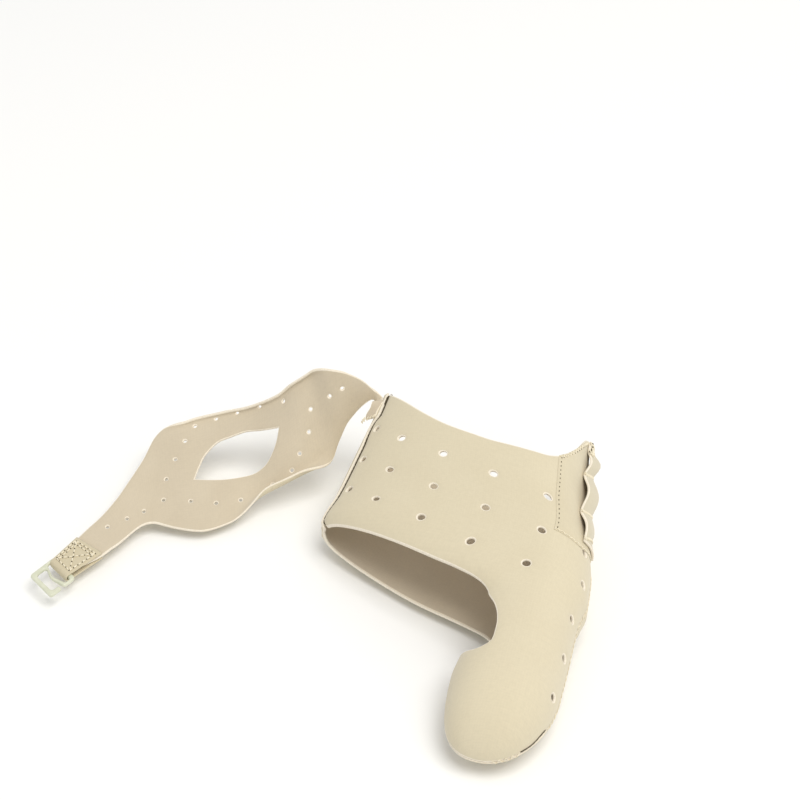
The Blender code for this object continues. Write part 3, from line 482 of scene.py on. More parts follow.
@dataclass
class BandForm:
    """The outer face of the band and sheath as sections from side to side.

    A place on it is (girth, run): the distance round the section from the inner seam and the distance along
    the top ridge from the middle section, positive towards the rear.
    """

    band_width: float = 80.0 * MM
    band_height: float = 38.0 * MM
    band_reach: float = 45.0 * MM
    sheath_reach: float = 82.0 * MM
    sheath_offset: float = 24.25 * MM
    sheath_width: float = 32.0 * MM
    sheath_height: float = 25.5 * MM
    sheath_cap: float = 24.0 * MM
    tip_drift: float = 2.2 * MM
    tip_height: float = 6.0 * MM
    tip_squareness: float = 2.9
    slant: float = 0.25
    sole_bulge: float = 1.4 * MM
    sole_squareness: float = 3.0
    tip_roundness: float = 2.1
    samples: int = 121
    body_samples: int = 320
    cap_samples: int = 90
    cap_turns: tuple[float, float] = (0.01, 0.98)
    least_keep: float = 1e-4

    def __post_init__(self) -> None:
        """Works out the sections and the run along the ridge."""
        rows = []
        for table, axis, width, height in (
            (BAND_SECTIONS, 0.0, self.band_width, self.band_height),
            (SHEATH_SECTIONS, self.sheath_offset, self.sheath_width, self.sheath_height),
        ):
            for row in table:
                reach = self.band_reach if row[0] > 0 else self.sheath_reach
                widths = [axis + share * width for share in row[1:4]]
                heights = [share * height for share in row[4:8]]
                rows.append([row[0] * reach, *widths, *heights, row[8] * self.slant, *row[9:]])
        self.rows = np.array(rows[::-1])
        self.cap_start = -(self.sheath_reach - self.sheath_cap)
        turn = np.linspace(*self.cap_turns, self.cap_samples) * math.pi / 2
        body = np.linspace(self.band_reach, self.cap_start, self.body_samples)
        self.stations = np.concatenate([body, self.cap_start - self.sheath_cap * np.sin(turn)])
        middle = np.full((len(self.stations), 1), math.pi / 2)
        ridge = self.points(self.stations, middle, True)[:, 0]
        run = run_along(ridge)
        self.runs = np.interp(0.0, -self.stations, run) - run
        self.cap_run = float(self.run_at(self.cap_start))

    def section(self, station: Array) -> Array:
        """The section's sizes at each station, rounded off towards the sheath's tip.

        Args:
            station: places from front to rear.

        Returns:
            One row of sizes for each station.
        """
        station = np.atleast_1d(station)
        size = smooth_through(self.rows[:, 0], self.rows[:, 1:], np.maximum(station, self.rows[0, 0]))
        into_cap = np.clip((self.cap_start - station) / self.sheath_cap, 0, 1)
        keep = np.sqrt(np.maximum(1 - into_cap ** 2, self.least_keep))[:, None]
        power = self.tip_squareness
        keep_outer = np.maximum(1 - into_cap ** power, self.least_keep) ** (1 / power)
        tip_x = self.sheath_offset - self.tip_drift
        size[:, 0:2] = tip_x + (size[:, 0:2] - tip_x) * keep
        size[:, 2] = tip_x + (size[:, 2] - tip_x) * keep_outer
        size[:, 3:7] = self.tip_height + (size[:, 3:7] - self.tip_height) * keep
        return size

    def points(self, station: Array, angle: Array, upper: bool) -> Array:
        """Points of the sections at angles from 0 at the inner seam to pi at the outer one.

        Args:
            station: places from front to rear.
            angle: rows of angles, one for each station.
            upper: whether it is the upper face.

        Returns:
            A row of points for each station.
        """
        columns = [column[:, None] for column in self.section(station).T]
        inner, ridge, outer, top, seam_in, seam_out, bottom, slant, round_in, round_out = columns
        across = np.cos(angle)
        lift = np.abs(np.sin(angle))
        inward = across >= 0
        seam = np.where(inward, seam_in, seam_out)
        if upper:
            power = 2 / np.where(inward, round_in, round_out)
            reach = np.where(inward, inner - ridge, ridge - outer)
            middle, far = ridge, top
            swell = 0.0
        else:
            reach = (inner - outer) / 2
            middle, far = (inner + outer) / 2, bottom
            from_seam = np.minimum(angle, math.pi - angle)
            room = np.clip(2 * reach / self.sheath_width - 1, 0, 1)
            power = 2 / (self.tip_roundness + (self.sole_squareness - self.tip_roundness) * room)
            swell = self.sole_bulge * room * np.sin(2 * from_seam) * np.sign(across)
        x = middle + reach * np.sign(across) * np.abs(across) ** power + swell
        z = seam + (far - seam) * lift ** power
        y = np.atleast_1d(station)[:, None] - slant * (x - ridge)
        return np.stack([x, y + 0 * z, z - self.band_height / 2], -1)

    def arcs(self, station: Array, upper: bool) -> tuple[Array, Array]:
        """Angles round each section and the distance run from the inner seam to each.

        Args:
            station: places from front to rear.
            upper: whether it is the upper face.

        Returns:
            The angles and the distances, a row for each station.
        """
        angle = np.broadcast_to(np.linspace(0, math.pi, self.samples), (len(station), self.samples))
        points = self.points(station, angle, upper)
        steps = np.linalg.norm(np.diff(points, axis=1), axis=2)
        return angle, np.concatenate([np.zeros((len(station), 1)), np.cumsum(steps, axis=1)], axis=1)

    def station_at(self, run: object) -> Array:
        """Station from front to rear for each run along the ridge."""
        return np.interp(-np.asarray(run, float), -self.runs, self.stations)

    def run_at(self, station: object) -> Array:
        """Run along the ridge for each station from front to rear."""
        return np.interp(-np.asarray(station, float), -self.stations, self.runs)

    def girth(self, run: object, upper: bool) -> Array:
        """Whole distance from seam to seam at each run."""
        return self.arcs(np.atleast_1d(self.station_at(run)), upper)[1][:, -1]

    def locate(self, places: Array, upper: bool) -> tuple[Array, Array]:
        """Station and section angle of each place, the angle as a column.

        Args:
            places: (girth, run) rows.
            upper: whether it is the upper face.

        Returns:
            The stations and the angles.
        """
        station = self.station_at(places[:, 1])
        angles, arc = self.arcs(station, upper)
        angle = [np.interp(g, a, t) for g, a, t in zip(places[:, 0], arc, angles)]
        return station, np.array(angle)[:, None]

    def normals(self, station: Array, angle: Array, upper: bool) -> Array:
        """Outward unit normals of the outer face.

        Args:
            station: places from front to rear.
            angle: one angle for each, as a column.
            upper: whether it is the upper face.

        Returns:
            One normal for each station.
        """
        turn, margin, shift, last = 0.003, 1e-4, 0.05 * MM, self.stations[-1]
        before = self.points(station, np.maximum(angle - turn, margin), upper)[:, 0]
        after = self.points(station, np.minimum(angle + turn, math.pi - margin), upper)[:, 0]
        toward = self.points(np.maximum(station - shift, last), angle, upper)[:, 0]
        away = self.points(np.maximum(station, last) + shift, angle, upper)[:, 0]
        along, round_way = away - toward, after - before
        normal = np.cross(along, round_way) if upper else np.cross(round_way, along)
        return unit(normal)

    def layer(self, places: Array, height: object, upper: bool = True) -> Array:
        """Points above the outer face.

        Args:
            places: (girth, run) rows.
            height: distance above the face, negative into the wall.
            upper: whether the places lie on the upper face or on the sole.

        Returns:
            One point for each place.
        """
        places = np.asarray(places, float)
        height = np.broadcast_to(np.asarray(height, float), len(places))
        station, angle = self.locate(places, upper)
        face = self.points(station, angle, upper)[:, 0]
        return face + self.normals(station, angle, upper) * height[:, None]

    def centred(self, places: Array, upper: bool, way: int = -1) -> Array:
        """Places with the cap's girths counted from its middle, or back again with way 1.

        Args:
            places: (girth, run) rows.
            upper: whether it is the upper face.
            way: -1 towards the middle, 1 back.

        Returns:
            The places with their new girths.
        """
        places = np.asarray(places, float)
        half = self.girth(np.minimum(places[:, 1], self.cap_run), upper) / 2
        return places + np.stack([way * half, np.zeros(len(places))], 1)

    def rear_run(self, girth: float) -> float:
        """Run of the upper panel's rear edge at a distance from the inner seam.

        Args:
            girth: distance from the inner seam.

        Returns:
            The run of the edge there.
        """
        shares = [row[0] for row in REAR_EDGE]
        whole = float(self.girth(self.run_at(0.0), True)[0])
        stations = [row[1] * self.band_reach for row in REAR_EDGE]
        return float(self.run_at(smooth_through(shares, stations, [girth / whole])[0]))


def inside(points: Array, loop: Array) -> Array:
    """Whether each point lies inside a closed loop.

    Args:
        points: the points asked about.
        loop: the loop's corners.

    Returns:
        True for each point inside.
    """
    x, y = points[:, 0][:, None], points[:, 1][:, None]
    x0, y0 = loop[:, 0], loop[:, 1]
    x1, y1 = np.roll(x0, -1), np.roll(y0, -1)
    crosses = (y0 > y) != (y1 > y)
    rise = np.where(y1 == y0, 1.0, y1 - y0)
    return (crosses & (x < x0 + (x1 - x0) * (y - y0) / rise)).sum(axis=1) % 2 == 1


def nearest_distance(points: Array, others: Array) -> Array:
    """Distance from each point to the nearest of the others.

    Args:
        points: the points asked about.
        others: the points measured to.

    Returns:
        One distance for each point.
    """
    chunk_rows = 1500
    parts = [np.linalg.norm(chunk[:, None] - others[None], axis=2).min(axis=1)
             for chunk in np.array_split(points, max(1, len(points) // chunk_rows))]
    return np.concatenate(parts)


def turned(loop: Array, material_left: bool) -> Array:
    """The loop in the direction that keeps the cloth on the asked side."""
    area = np.sum(loop[:, 0] * np.roll(loop[:, 1], -1) - np.roll(loop[:, 0], -1) * loop[:, 1])
    return loop if (area > 0) == material_left else loop[::-1]


def inset(loop: Array, distance: float) -> Array:
    """The loop moved into the cloth, which lies on its left.

    Args:
        loop: corners of the loop.
        distance: how far its edges move.

    Returns:
        The new corners.
    """
    ahead = np.roll(loop, -1, axis=0) - loop
    ahead = unit(ahead, TINY)
    before = np.roll(ahead, 1, axis=0)
    both = ahead + before
    both = unit(both, TINY)
    sharpest = 0.6
    stretch = 1 / np.maximum((both * ahead).sum(axis=1), sharpest)
    left = np.stack([-both[:, 1], both[:, 0]], 1)
    return loop + left * (distance * stretch)[:, None]


def faces_between(low: int, high: int, count: int) -> list[tuple[int, int, int, int]]:
    """Faces between two closed rows of count corners, whose numbers start at low and at high."""
    return [(low + i, low + (i + 1) % count, high + (i + 1) % count, high + i) for i in range(count)]


@dataclass
class ClothSheet:
    """A sheet cut to an outline with holes, laid on a surface, with softly rounded cut edges.

    The surface gives a point for each place and height; the sheet fills heights from 0 down to its wall.
    """

    name: str
    loops: list[Array]
    surface: Surface
    wall: float
    lip: float
    step: float
    rings: int = 5
    hole_lip: float | None = None
    edge_room: float = 0.6
    roundness: float = 0.7
    merge_mm: float = 1e-6

    def fill(self, loops: list[Array]) -> tuple[Array, Array]:
        """Places and triangles that fill the first loop around the others.

        Args:
            loops: the outline and its holes.

        Returns:
            The places and the corner numbers of each triangle.
        """
        low, high = loops[0].min(axis=0), loops[0].max(axis=0)
        rows = []
        for index, y in enumerate(np.arange(low[1], high[1], self.step * math.sqrt(3) / 2)):
            x = np.arange(low[0] + (index % 2) * self.step / 2, high[0], self.step)
            rows.append(np.stack([x, np.full_like(x, y)], 1))
        grid = np.vstack(rows)
        grid = grid[inside(grid, loops[0])]
        for hole in loops[1:]:
            grid = grid[~inside(grid, hole)]
        grid = grid[nearest_distance(grid, np.vstack(loops)) > self.edge_room * self.step]
        places = np.vstack([*loops, grid])
        edges, start = [], 0
        for loop in loops:
            edges += [(start + i, start + (i + 1) % len(loop)) for i in range(len(loop))]
            start += len(loop)
        flat = [Vector(place / MM) for place in places]
        points, _, faces, *_ = delaunay_2d_cdt(flat, edges, [], 0, self.merge_mm, False)
        places = np.array([tuple(point) for point in points]) * MM
        faces = np.array([face for face in faces if len(face) == 3])
        middle = places[faces].mean(axis=1)
        keep = inside(middle, loops[0])
        for hole in loops[1:]:
            keep &= ~inside(middle, hole)
        return places, faces[keep]

    def build(self, finishes: list[Material]) -> Object:
        """The finished mesh object.

        Args:
            finishes: materials of the outer face, the cut edge and the inner face.

        Returns:
            The object, which rides on the part's one body.
        """
        loops = [turned(np.asarray(loop), index == 0) for index, loop in enumerate(self.loops)]
        lips = [self.lip] + [self.hole_lip or self.lip] * (len(loops) - 1)
        inner = [inset(loop, lip) for loop, lip in zip(loops, lips)]
        face_places, triangles = self.fill(inner)
        rim_count = sum(len(loop) for loop in loops)
        places, heights = [], []
        for ring in range(self.rings):
            turn = math.pi * (ring / (self.rings - 1) - 0.5)
            share = 1 - max(math.cos(turn), 0.0) ** self.roundness
            for loop, lip in zip(loops, lips):
                places.append(inset(loop, lip * share))
                heights.append(np.full(len(loop), -self.wall / 2 + self.wall / 2 * math.sin(turn)))
        body = face_places[rim_count:]
        places += [body, body]
        heights += [np.zeros(len(body)), np.full(len(body), -self.wall)]
        places, heights = np.vstack(places), np.concatenate(heights)
        points = self.surface(places, heights)
        top = (self.rings - 1) * rim_count
        front_body = self.rings * rim_count
        back_body = front_body + len(body)
        front = np.where(triangles < rim_count, triangles + top, triangles - rim_count + front_body)
        back = np.where(triangles < rim_count, triangles, triangles - rim_count + back_body)[:, ::-1]
        faces = [tuple(t) for t in front] + [tuple(t) for t in back]
        marks = [0] * len(front) + [2] * len(back)
        start = 0
        for loop in loops:
            count = len(loop)
            for ring in range(self.rings - 1):
                faces += faces_between(ring * rim_count + start, (ring + 1) * rim_count + start, count)
                marks += [1] * count
            start += count
        return add_mesh(self.name, points, faces, finishes, marks, np.column_stack([places, heights]))


def add_mesh(name: str, points: Array, faces: list, finishes: list[Material],
             marks: list[int] | None = None, cloth: Array | None = None) -> Object:
    """A smooth mesh object that rides on the part's body.

    Args:
        name: the piece's name.
        points: its vertices.
        faces: vertex numbers of each face.
        finishes: its materials.
        marks: material number of each face.
        cloth: the cloth's own coordinates of each vertex.

    Returns:
        The object, with its faces pointing outwards.
    """
    mesh = bpy.data.meshes.new(name)
    mesh.from_pydata(points.tolist(), [], [tuple(map(int, face)) for face in faces])
    if marks is not None:
        mesh.polygons.foreach_set("material_index", marks)
    if cloth is not None:
        attribute = mesh.attributes.new("cloth", "FLOAT_VECTOR", "POINT")
        attribute.data.foreach_set("vector", cloth.astype(np.float32).ravel())
    for finish in finishes:
        mesh.materials.append(finish)
    mesh.update()
    mesh.calc_loop_triangles()
    corners = np.array([t.vertices[:] for t in mesh.loop_triangles])
    a, b, c = (points[corners[:, i]] for i in range(3))
    if np.einsum("ij,ij->i", a, np.cross(b, c)).sum() < 0:
        mesh.flip_normals()
    mesh.shade_smooth()
    made = bpy.data.objects.new(name, mesh)
    bpy.context.scene.collection.objects.link(made)
    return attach(made, BODY)


@dataclass
class Stitching:
    """Lines of sewing thread that end up in one mesh."""

    name: str
    radius: float = 0.16 * MM
    sides: int = 6
    links: int = 6
    samples: int = 8
    stand_out: float = 0.8
    end_share: float = 0.35
    stitches: list[tuple[Array, Array, Array, float]] = field(default_factory=list)

    def add(self, start: Array, end: Array, out: Array, rise: float) -> None:
        """One stitch from start to end that stands out by rise in its middle."""
        self.stitches.append((np.asarray(start), np.asarray(end), np.asarray(out), rise))

    def line(self, places: Array, surface: Surface, pitch: float, kind: StitchKind = StitchKind.RUNNING,
             swing: float = 0.0, share: float = 0.7, lift: float = 0.0) -> None:
        """Stitches along a line of places.

        Args:
            places: the line in the surface's own places.
            surface: gives a point for each place and height.
            pitch: distance from stitch to stitch.
            kind: running, or zigzag to both sides of the line.
            swing: half the width of the zigzag.
            share: share of the pitch that a running stitch covers.
            lift: height of the thread's ends over the surface.
        """
        fine = evenly(places, pitch / self.samples)
        points = surface(fine, np.full(len(fine), lift))
        out = surface(fine, np.full(len(fine), lift + PROBE)) - points
        out = unit(out, TINY)
        run = run_along(points)
        count = max(1, int(round(run[-1] / pitch)))
        real_pitch = run[-1] / count

        def at(distance: float, rows: Array) -> Array:
            """The row at a distance along the line."""
            return np.array([np.interp(distance, run, rows[:, axis]) for axis in range(3)])

        for index in range(count):
            start = index * real_pitch
            end = start + real_pitch * (share if kind is StitchKind.RUNNING else 1.0)
            normal = at((start + end) / 2, out)
            a, b = at(start, points), at(end, points)
            if kind is StitchKind.ZIGZAG:
                side = np.cross(normal, b - a)
                side /= np.linalg.norm(side) + TINY
                sign = 1 if index % 2 else -1
                a, b = a + side * swing * sign, b - side * swing * sign
            self.add(a, b, normal, self.stand_out * self.radius)

    def tuft(self, middle: Array, way: Array, surface: Surface, pitch: float, lift: float) -> None:
        """Loose stitches from one side of a place to the other.

        Args:
            middle: the place.
            way: half their length, in the surface's own places.
            surface: gives a point for each place and height.
            pitch: longest distance that one stitch covers.
            lift: height of the thread's ends over the surface.
        """
        self.line(np.array([middle - way, middle + way]), surface, pitch, StitchKind.TUFT, lift=lift)

    def build(self, finish: Material) -> Object:
        """All the stitches as short bent tubes with closed ends.

        Args:
            finish: the thread's material.

        Returns:
            The object that holds every stitch.
        """
        points, faces = [], []
        turn = np.arange(self.sides) * 2 * math.pi / self.sides
        for start, end, out, rise in self.stitches:
            ahead = end - start
            ahead = ahead / (np.linalg.norm(ahead) + TINY)
            up = out - ahead * np.dot(out, ahead)
            up /= np.linalg.norm(up) + TINY
            side = np.cross(ahead, up)
            base = len(points)
            for link in range(self.links + 1):
                t = link / self.links
                bow = (1 - (2 * t - 1) ** 4) * (rise + self.radius) - self.radius
                centre = start + (end - start) * t + up * bow
                radius = self.radius * (self.end_share if link in (0, self.links) else 1.0)
                points += [centre + radius * (math.cos(a) * side + math.sin(a) * up) for a in turn]
            for link in range(self.links):
                low = base + link * self.sides
                faces += faces_between(low, low + self.sides, self.sides)
            faces.append(tuple(base + i for i in reversed(range(self.sides))))
            last = base + self.links * self.sides
            faces.append(tuple(last + i for i in range(self.sides)))
        return add_mesh(self.name, np.array(points), faces, [finish])


def small_hole(centre: tuple[float, float], round_size: float, along_size: float, sides: int = 18) -> Array:
    """Outline of a small hole round its centre."""
    turn = np.arange(sides) * 2 * math.pi / sides
    girth = centre[0] + round_size / 2 * np.cos(turn)
    return np.stack([girth, centre[1] + along_size / 2 * np.sin(turn)], 1)


def clear_of(place: tuple[float, float], outline: Array, margin: float) -> bool:
    """Whether a place lies inside an outline with a margin to its points.

    Args:
        place: the place asked about.
        outline: the outline's points.
        margin: distance kept from them.

    Returns:
        Whether the place is clear.
    """
    if not inside(np.array([place]), outline)[0]:
        return False
    return float(np.linalg.norm(outline - np.array(place), axis=1).min()) > margin


@dataclass
class Panels:
    """The upper and the sole panel, sewn edge to edge along both sides."""

    form: BandForm
    wall: float = 0.95 * MM
    seam_gap: float = 0.04 * MM
    crease_gap: float = 0.55 * MM
    crease_dip: float = 0.7 * MM
    crease_lip: float = 0.55 * MM
    crease_width: float = 1.6 * MM
    crease_front: float = 0.33
    cut_front: float = 0.4
    lip: float = 0.42 * MM
    hole_lip: float = 0.4 * MM
    step: float = 1.5 * MM
    samples: int = 500
    hole_round: float = 2.4 * MM
    hole_along: float = 1.95 * MM
    hole_front: float = 30.3 * MM
    hole_pitch: float = 13.0 * MM
    hole_drift: float = 17.5 * MM
    hole_rows: int = 3
    hole_room: float = 0.68
    thread_margin: float = 0.8 * MM
    thread_wobble: float = 0.16 * MM
    thread_waves: tuple[float, float] = (1.9 * MM, 3.1 * MM)
    thread_overlap: float = 1.4
    wide_start: float = 1.2 * MM
    wide_end: float = 5.0 * MM
    wide_aside: float = 0.28 * MM

    def seam(self, first_run: float, last_run: float, upper: bool, at_outer: bool) -> Array:
        """Places along a seam, a hair inside it, evenly spaced along its own length.

        Args:
            first_run: run of its first place.
            last_run: run of its last place.
            upper: whether it is the upper face.
            at_outer: whether it is the outer seam.

        Returns:
            The seam's places.
        """
        angle = math.pi if at_outer else 0.0
        fine = np.linspace(first_run, last_run, self.samples)
        angles = np.full((self.samples, 1), angle)
        line = self.form.points(self.form.station_at(fine), angles, upper)[:, 0]
        length = run_along(line)
        count = max(2, int(round(length[-1] / self.step)) + 1)
        runs = np.interp(np.linspace(0, length[-1], count), length, fine)
        if not at_outer:
            return np.stack([np.full(count, self.seam_gap / 2), runs], 1)
        return np.stack([self.form.girth(runs, upper) - self.seam_gap / 2, runs], 1)

    def edge(self, rows: tuple, reach: float, upper: bool) -> Array:
        """Places along a cut edge from a table of girth shares and reach shares.

        Args:
            rows: the table.
            reach: size that the second column is a share of.
            upper: whether it is the upper face.

        Returns:
            The edge's places.
        """
        runs = self.form.run_at(np.array([row[1] * reach for row in rows]))
        whole = self.form.girth(runs, upper)
        shares = np.array([row[0] for row in rows])
        return curve_through(np.stack([shares * whole, runs], 1), self.step)

    def rise(self, runs: object) -> Array:
        """Distance of the band's outer seam above the form's side line at each run."""
        table = np.array(SEAM_RISE) * MM
        return smooth_through(table[:, 0], table[:, 1], runs)

    def past_seam(self, places: Array) -> Array:
        """How far upper places lie past the band's outer seam, towards the sole."""
        whole = self.form.girth(places[:, 1], True)
        return places[:, 0] - (whole - self.rise(places[:, 1]))

    def seam_ends(self) -> tuple[Array, Array, Array, Array]:
        """The front cut and the rear edge, each with which of its places lie past the outer seam.

        Returns:
            The cut, its marks, the rear edge and its marks.
        """
        form = self.form
        cut = self.edge(FRONT_CUT, -form.sheath_reach, True)
        rear = self.edge(REAR_EDGE[::-1], form.band_reach, True)
        cut_past = (self.past_seam(cut) > 0) & (cut[:, 1] > form.run_at(-self.cut_front * form.sheath_reach))
        return cut, cut_past, rear, self.past_seam(rear) > 0

    def outline(self, rear_rows: tuple, cut_rows: tuple, upper: bool) -> Array:
        """Outline: inner seam, tip, sheath's outer seam, front cut, outer seam, rear edge.

        Args:
            rear_rows: the panel's own rear edge.
            cut_rows: the panel's own front cut.
            upper: whether it is the upper panel or the sole, which reaches up to the raised outer seam.

        Returns:
            The closed outline as places of the panel.
        """
        form = self.form
        tip_run = form.runs[-1]
        rear_inner = float(form.run_at(rear_rows[0][1] * form.band_reach))
        web = float(form.run_at(-cut_rows[0][1] * form.sheath_reach))
        cut, cut_past, rear, rear_past = self.seam_ends()
        front_run, rear_run = cut[cut_past][0, 1], rear[rear_past][-1, 1]
        inner_seam = self.seam(rear_inner, tip_run, upper, False)
        sheath_seam = self.seam(tip_run, web, upper, True)
        band_seam = self.seam(front_run, rear_run, upper, True)
        shift = self.rise(band_seam[:, 1])
        if upper:
            band_seam[:, 0] -= shift + self.crease_gap / 2
            kept = cut[1:][~cut_past[1:]]
            return np.vstack([inner_seam, sheath_seam, kept, band_seam, rear[~rear_past][:-1]])
        band_seam[:, 0] += shift - self.crease_gap / 2
        sole_cut = self.edge(cut_rows, -form.sheath_reach, False)
        sole_rear = self.edge(rear_rows[::-1], form.band_reach, False)
        corners = []
        for past in (cut[cut_past][::-1], rear[rear_past][::-1]):
            down = form.girth(past[:, 1], True) - past[:, 0]
            corners.append(np.stack([form.girth(past[:, 1], False) + down, past[:, 1]], 1))
        return np.vstack([inner_seam, sheath_seam, sole_cut[1:-1], corners[0][:-1], band_seam, corners[1][1:],
                          sole_rear[1:-1]])

    def hole_centres(self, outline: Array) -> list[tuple[float, float]]:
        """Centres of the perforations: slanted rows over the band, one row down the sheath.

        Args:
            outline: the panel's outline.

        Returns:
            The centres that are clear of it.
        """
        form = self.form
        centres = []
        foremost = -2 / 3 * self.hole_front
        for row in range(self.hole_rows):
            for share, drift in HOLE_COLUMNS:
                run = row * self.hole_pitch + drift * self.hole_drift - self.hole_front
                centres.append((share * float(form.girth(max(run, foremost), True)[0]), run))
        centres += [(girth * form.sheath_width, -along * form.sheath_reach) for along, girth in SHEATH_HOLES]
        return [centre for centre in centres if clear_of(centre, outline, self.hole_room * self.hole_round)]

    def sew(self, thread: Stitching) -> None:
        """The sunk thread along the bottom of the band's outer seam, coloured dark as painted shade.

        Args:
            thread: takes the stitches.
        """
        cut, cut_past, rear, rear_past = self.seam_ends()
        front_run, rear_run = cut[cut_past][0, 1], rear[rear_past][-1, 1]
        runs = np.linspace(front_run + self.thread_margin, rear_run - self.thread_margin, 60)
        short_wave, long_wave = self.thread_waves
        wobble = self.thread_wobble * np.sin(runs / short_wave) * np.cos(runs / long_wave)
        middle = self.form.girth(runs, True) - self.rise(runs) + wobble
        thread.line(np.stack([middle, runs], 1), self.form.layer, 1.5 * MM,
                    share=self.thread_overlap, lift=-0.5 * MM)
        runs = rear_run - np.linspace(self.wide_start, self.wide_end, 12)
        middle = self.form.girth(runs, True) - self.rise(runs)
        for aside in (-self.wide_aside, self.wide_aside):
            thread.line(np.stack([middle + aside, runs], 1), self.form.layer, 1.3 * MM,
                        share=self.thread_overlap, lift=-0.3 * MM)

    def panel(self, name: str, loops: list[Array], upper: bool, finishes: list[Material]) -> Object:
        """One panel, meshed in places that are centred on the sheath's cap.

        Args:
            name: the piece's name.
            loops: its outline and its holes.
            upper: whether it is the upper face.
            finishes: materials of its face, edge and lining.

        Returns:
            The finished panel.
        """
        form = self.form

        def surface(places: Array, heights: Array) -> Array:
            """Points of the panel: the sole's part above the side line lies on the upper face.

            Args:
                places: rows on the piece.
                heights: heights over the shown face.

            Returns:
                One point for each place.
            """
            places = form.centred(places, upper, 1)
            if upper:
                near = np.clip(1 + self.past_seam(places) / self.crease_width, 0, 1)
                on_band = places[:, 1] > form.run_at(-self.crease_front * form.sheath_reach)
                return form.layer(places, heights - self.crease_dip * near ** 2 * on_band, True)
            points = form.layer(places, heights, False)
            over = places[:, 0] - form.girth(places[:, 1], False)
            high = over > 0
            if high.any():
                up = np.stack([form.girth(places[high, 1], True) - over[high], places[high, 1]], 1)
                share = np.clip(over[high] / self.rise(places[high, 1]), 0, 1)
                points[high] = form.layer(up, heights[high] + self.crease_lip * share ** 2, True)
            return points

        centred = [form.centred(loop, upper) for loop in loops]
        sheet = ClothSheet(name, centred, surface, self.wall, self.lip, self.step, hole_lip=self.hole_lip)
        return sheet.build(finishes)

    def build(self) -> list[Object]:
        """Both panels.

        Returns:
            The upper and the sole.
        """
        finishes = [LAMINATE.make(), CUT_EDGE.make(), LINING.make()]
        outline = self.outline(REAR_EDGE, FRONT_CUT, True)
        holes = [small_hole(c, self.hole_round, self.hole_along) for c in self.hole_centres(outline)]
        upper = self.panel("upper_laminate", [outline, *holes], True, finishes)
        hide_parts("upper_panel")
        sole = self.panel("sole_laminate", [self.outline(SOLE_REAR, SOLE_CUT, False)], False, finishes)
        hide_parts("sole_panel")
        return [upper, sole]


@dataclass
class LoopPatch:
    """The patch sewn over the band's inner rear corner."""

    form: BandForm
    width: float = 22.8 * MM
    flare: float = 0.3 * MM
    inset: float = 1.0 * MM
    front: float = 15.2 * MM
    corner: float = 8.0 * MM
    wall: float = 0.5 * MM
    rest: float = 0.04 * MM
    press: float = 2.4 * MM
    pressed: float = 0.12
    slope: float = 1.4
    lip: float = 0.3 * MM
    step: float = 0.75 * MM

    def corners(self) -> dict[str, Array]:
        """The patch's four edges as lines of places.

        Returns:
            The edges by name: rear, side, lower and seam.
        """
        margin = self.inset
        girths = np.linspace(margin, self.width, 9)
        rear = np.array([(g, self.form.rear_run(g) - margin) for g in girths])
        side = curve_through([
            (self.width, rear[-1, 1]),
            (self.width + self.flare / 2, (rear[-1, 1] - self.front) * PATCH_SIDE_MIDDLE),
            (self.width + self.flare, -self.front),
        ], self.step)
        between = [(share * self.width, -self.front + rise * self.corner) for share, rise in PATCH_FRONT]
        lower = curve_through([
            (self.width + self.flare, -self.front), *between, (margin, -self.front + self.corner),
        ], self.step)
        return {"rear": evenly(rear, self.step), "side": side, "lower": lower,
                "seam": evenly(np.array([lower[-1], rear[0]]), self.step)}

    def outline(self) -> Array:
        """The patch's closed outline."""
        edges = self.corners()
        return np.vstack([edges["rear"], edges["side"][1:], edges["lower"][1:], edges["seam"][1:-1]])

    def surface(self, places: Array, heights: Array) -> Array:
        """Points of the patch: pressed flat along its stitched side and front, a little fuller inside.

        Args:
            places: (girth, run) rows.
            heights: heights over the shown face.

        Returns:
            One point for each place.
        """
        from_side = self.width + self.flare / 2 - places[:, 0]
        toward_seam = np.clip(1 - places[:, 0] / self.width, 0, 1)
        from_front = places[:, 1] + self.front - self.corner * toward_seam ** self.slope
        share = np.clip(np.minimum(from_side, from_front) / self.press, 0, 1)
        thick = self.pressed + (1 - self.pressed) * eased(share)
        return self.form.layer(places, self.rest + (self.wall + heights) * thick)

    def build(self) -> Object:
        """The patch.

        Returns:
            The finished patch.
        """
        face = PATCH_LAMINATE.make()
        sheet = ClothSheet("loop_patch_laminate", [self.outline()], self.surface, self.wall, self.lip,
                           self.step)
        made = sheet.build([face, face, LINING.make()])
        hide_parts("loop_patch")
        return made

    def sew(self, thread: Stitching) -> None:
        """Light stitches: a fine zigzag along the rear edge and one along the front seam.

        Args:
            thread: takes the stitches.
        """
        edges = self.corners()
        rear = edges["rear"] - np.array([0.0, 1.0 * MM])
        thread.line(rear[2:-1], self.surface, 0.85 * MM, StitchKind.ZIGZAG, swing=0.6 * MM)
        front = edges["lower"] + np.array([0.0, 0.5 * MM])
        thread.line(front[::-1], self.surface, 0.9 * MM, StitchKind.ZIGZAG, swing=0.25 * MM)

    def sew_painted_shade(self, thread: Stitching) -> None:
        """Dark dashes of sunk thread down the outer side and dark marks for the needle holes along the rear
        edge, both coloured as painted shade.

        Args:
            thread: takes the stitches.
        """
        edges = self.corners()
        side = edges["side"] - np.array([0.9 * MM, 0.0])
        thread.line(side, self.surface, 1.55 * MM, share=0.42, lift=-0.05 * MM)
        rear = edges["rear"] - np.array([0.0, 1.65 * MM])
        thread.line(rear[2:-1], self.surface, 1.6 * MM, share=0.3, lift=-0.05 * MM)


# Golden steps that scatter crossed stitches evenly: along, aside and the turn in degrees, each with the
# length after which it starts again.
SCATTER = ((0.618, 1), (0.382, 1), (137.5, 180))


def plan_way(turn: float) -> Array:
    """Unit vector of a direction in the cloth's own plane, in degrees."""
    return np.array([math.cos(math.radians(turn)), math.sin(math.radians(turn))])


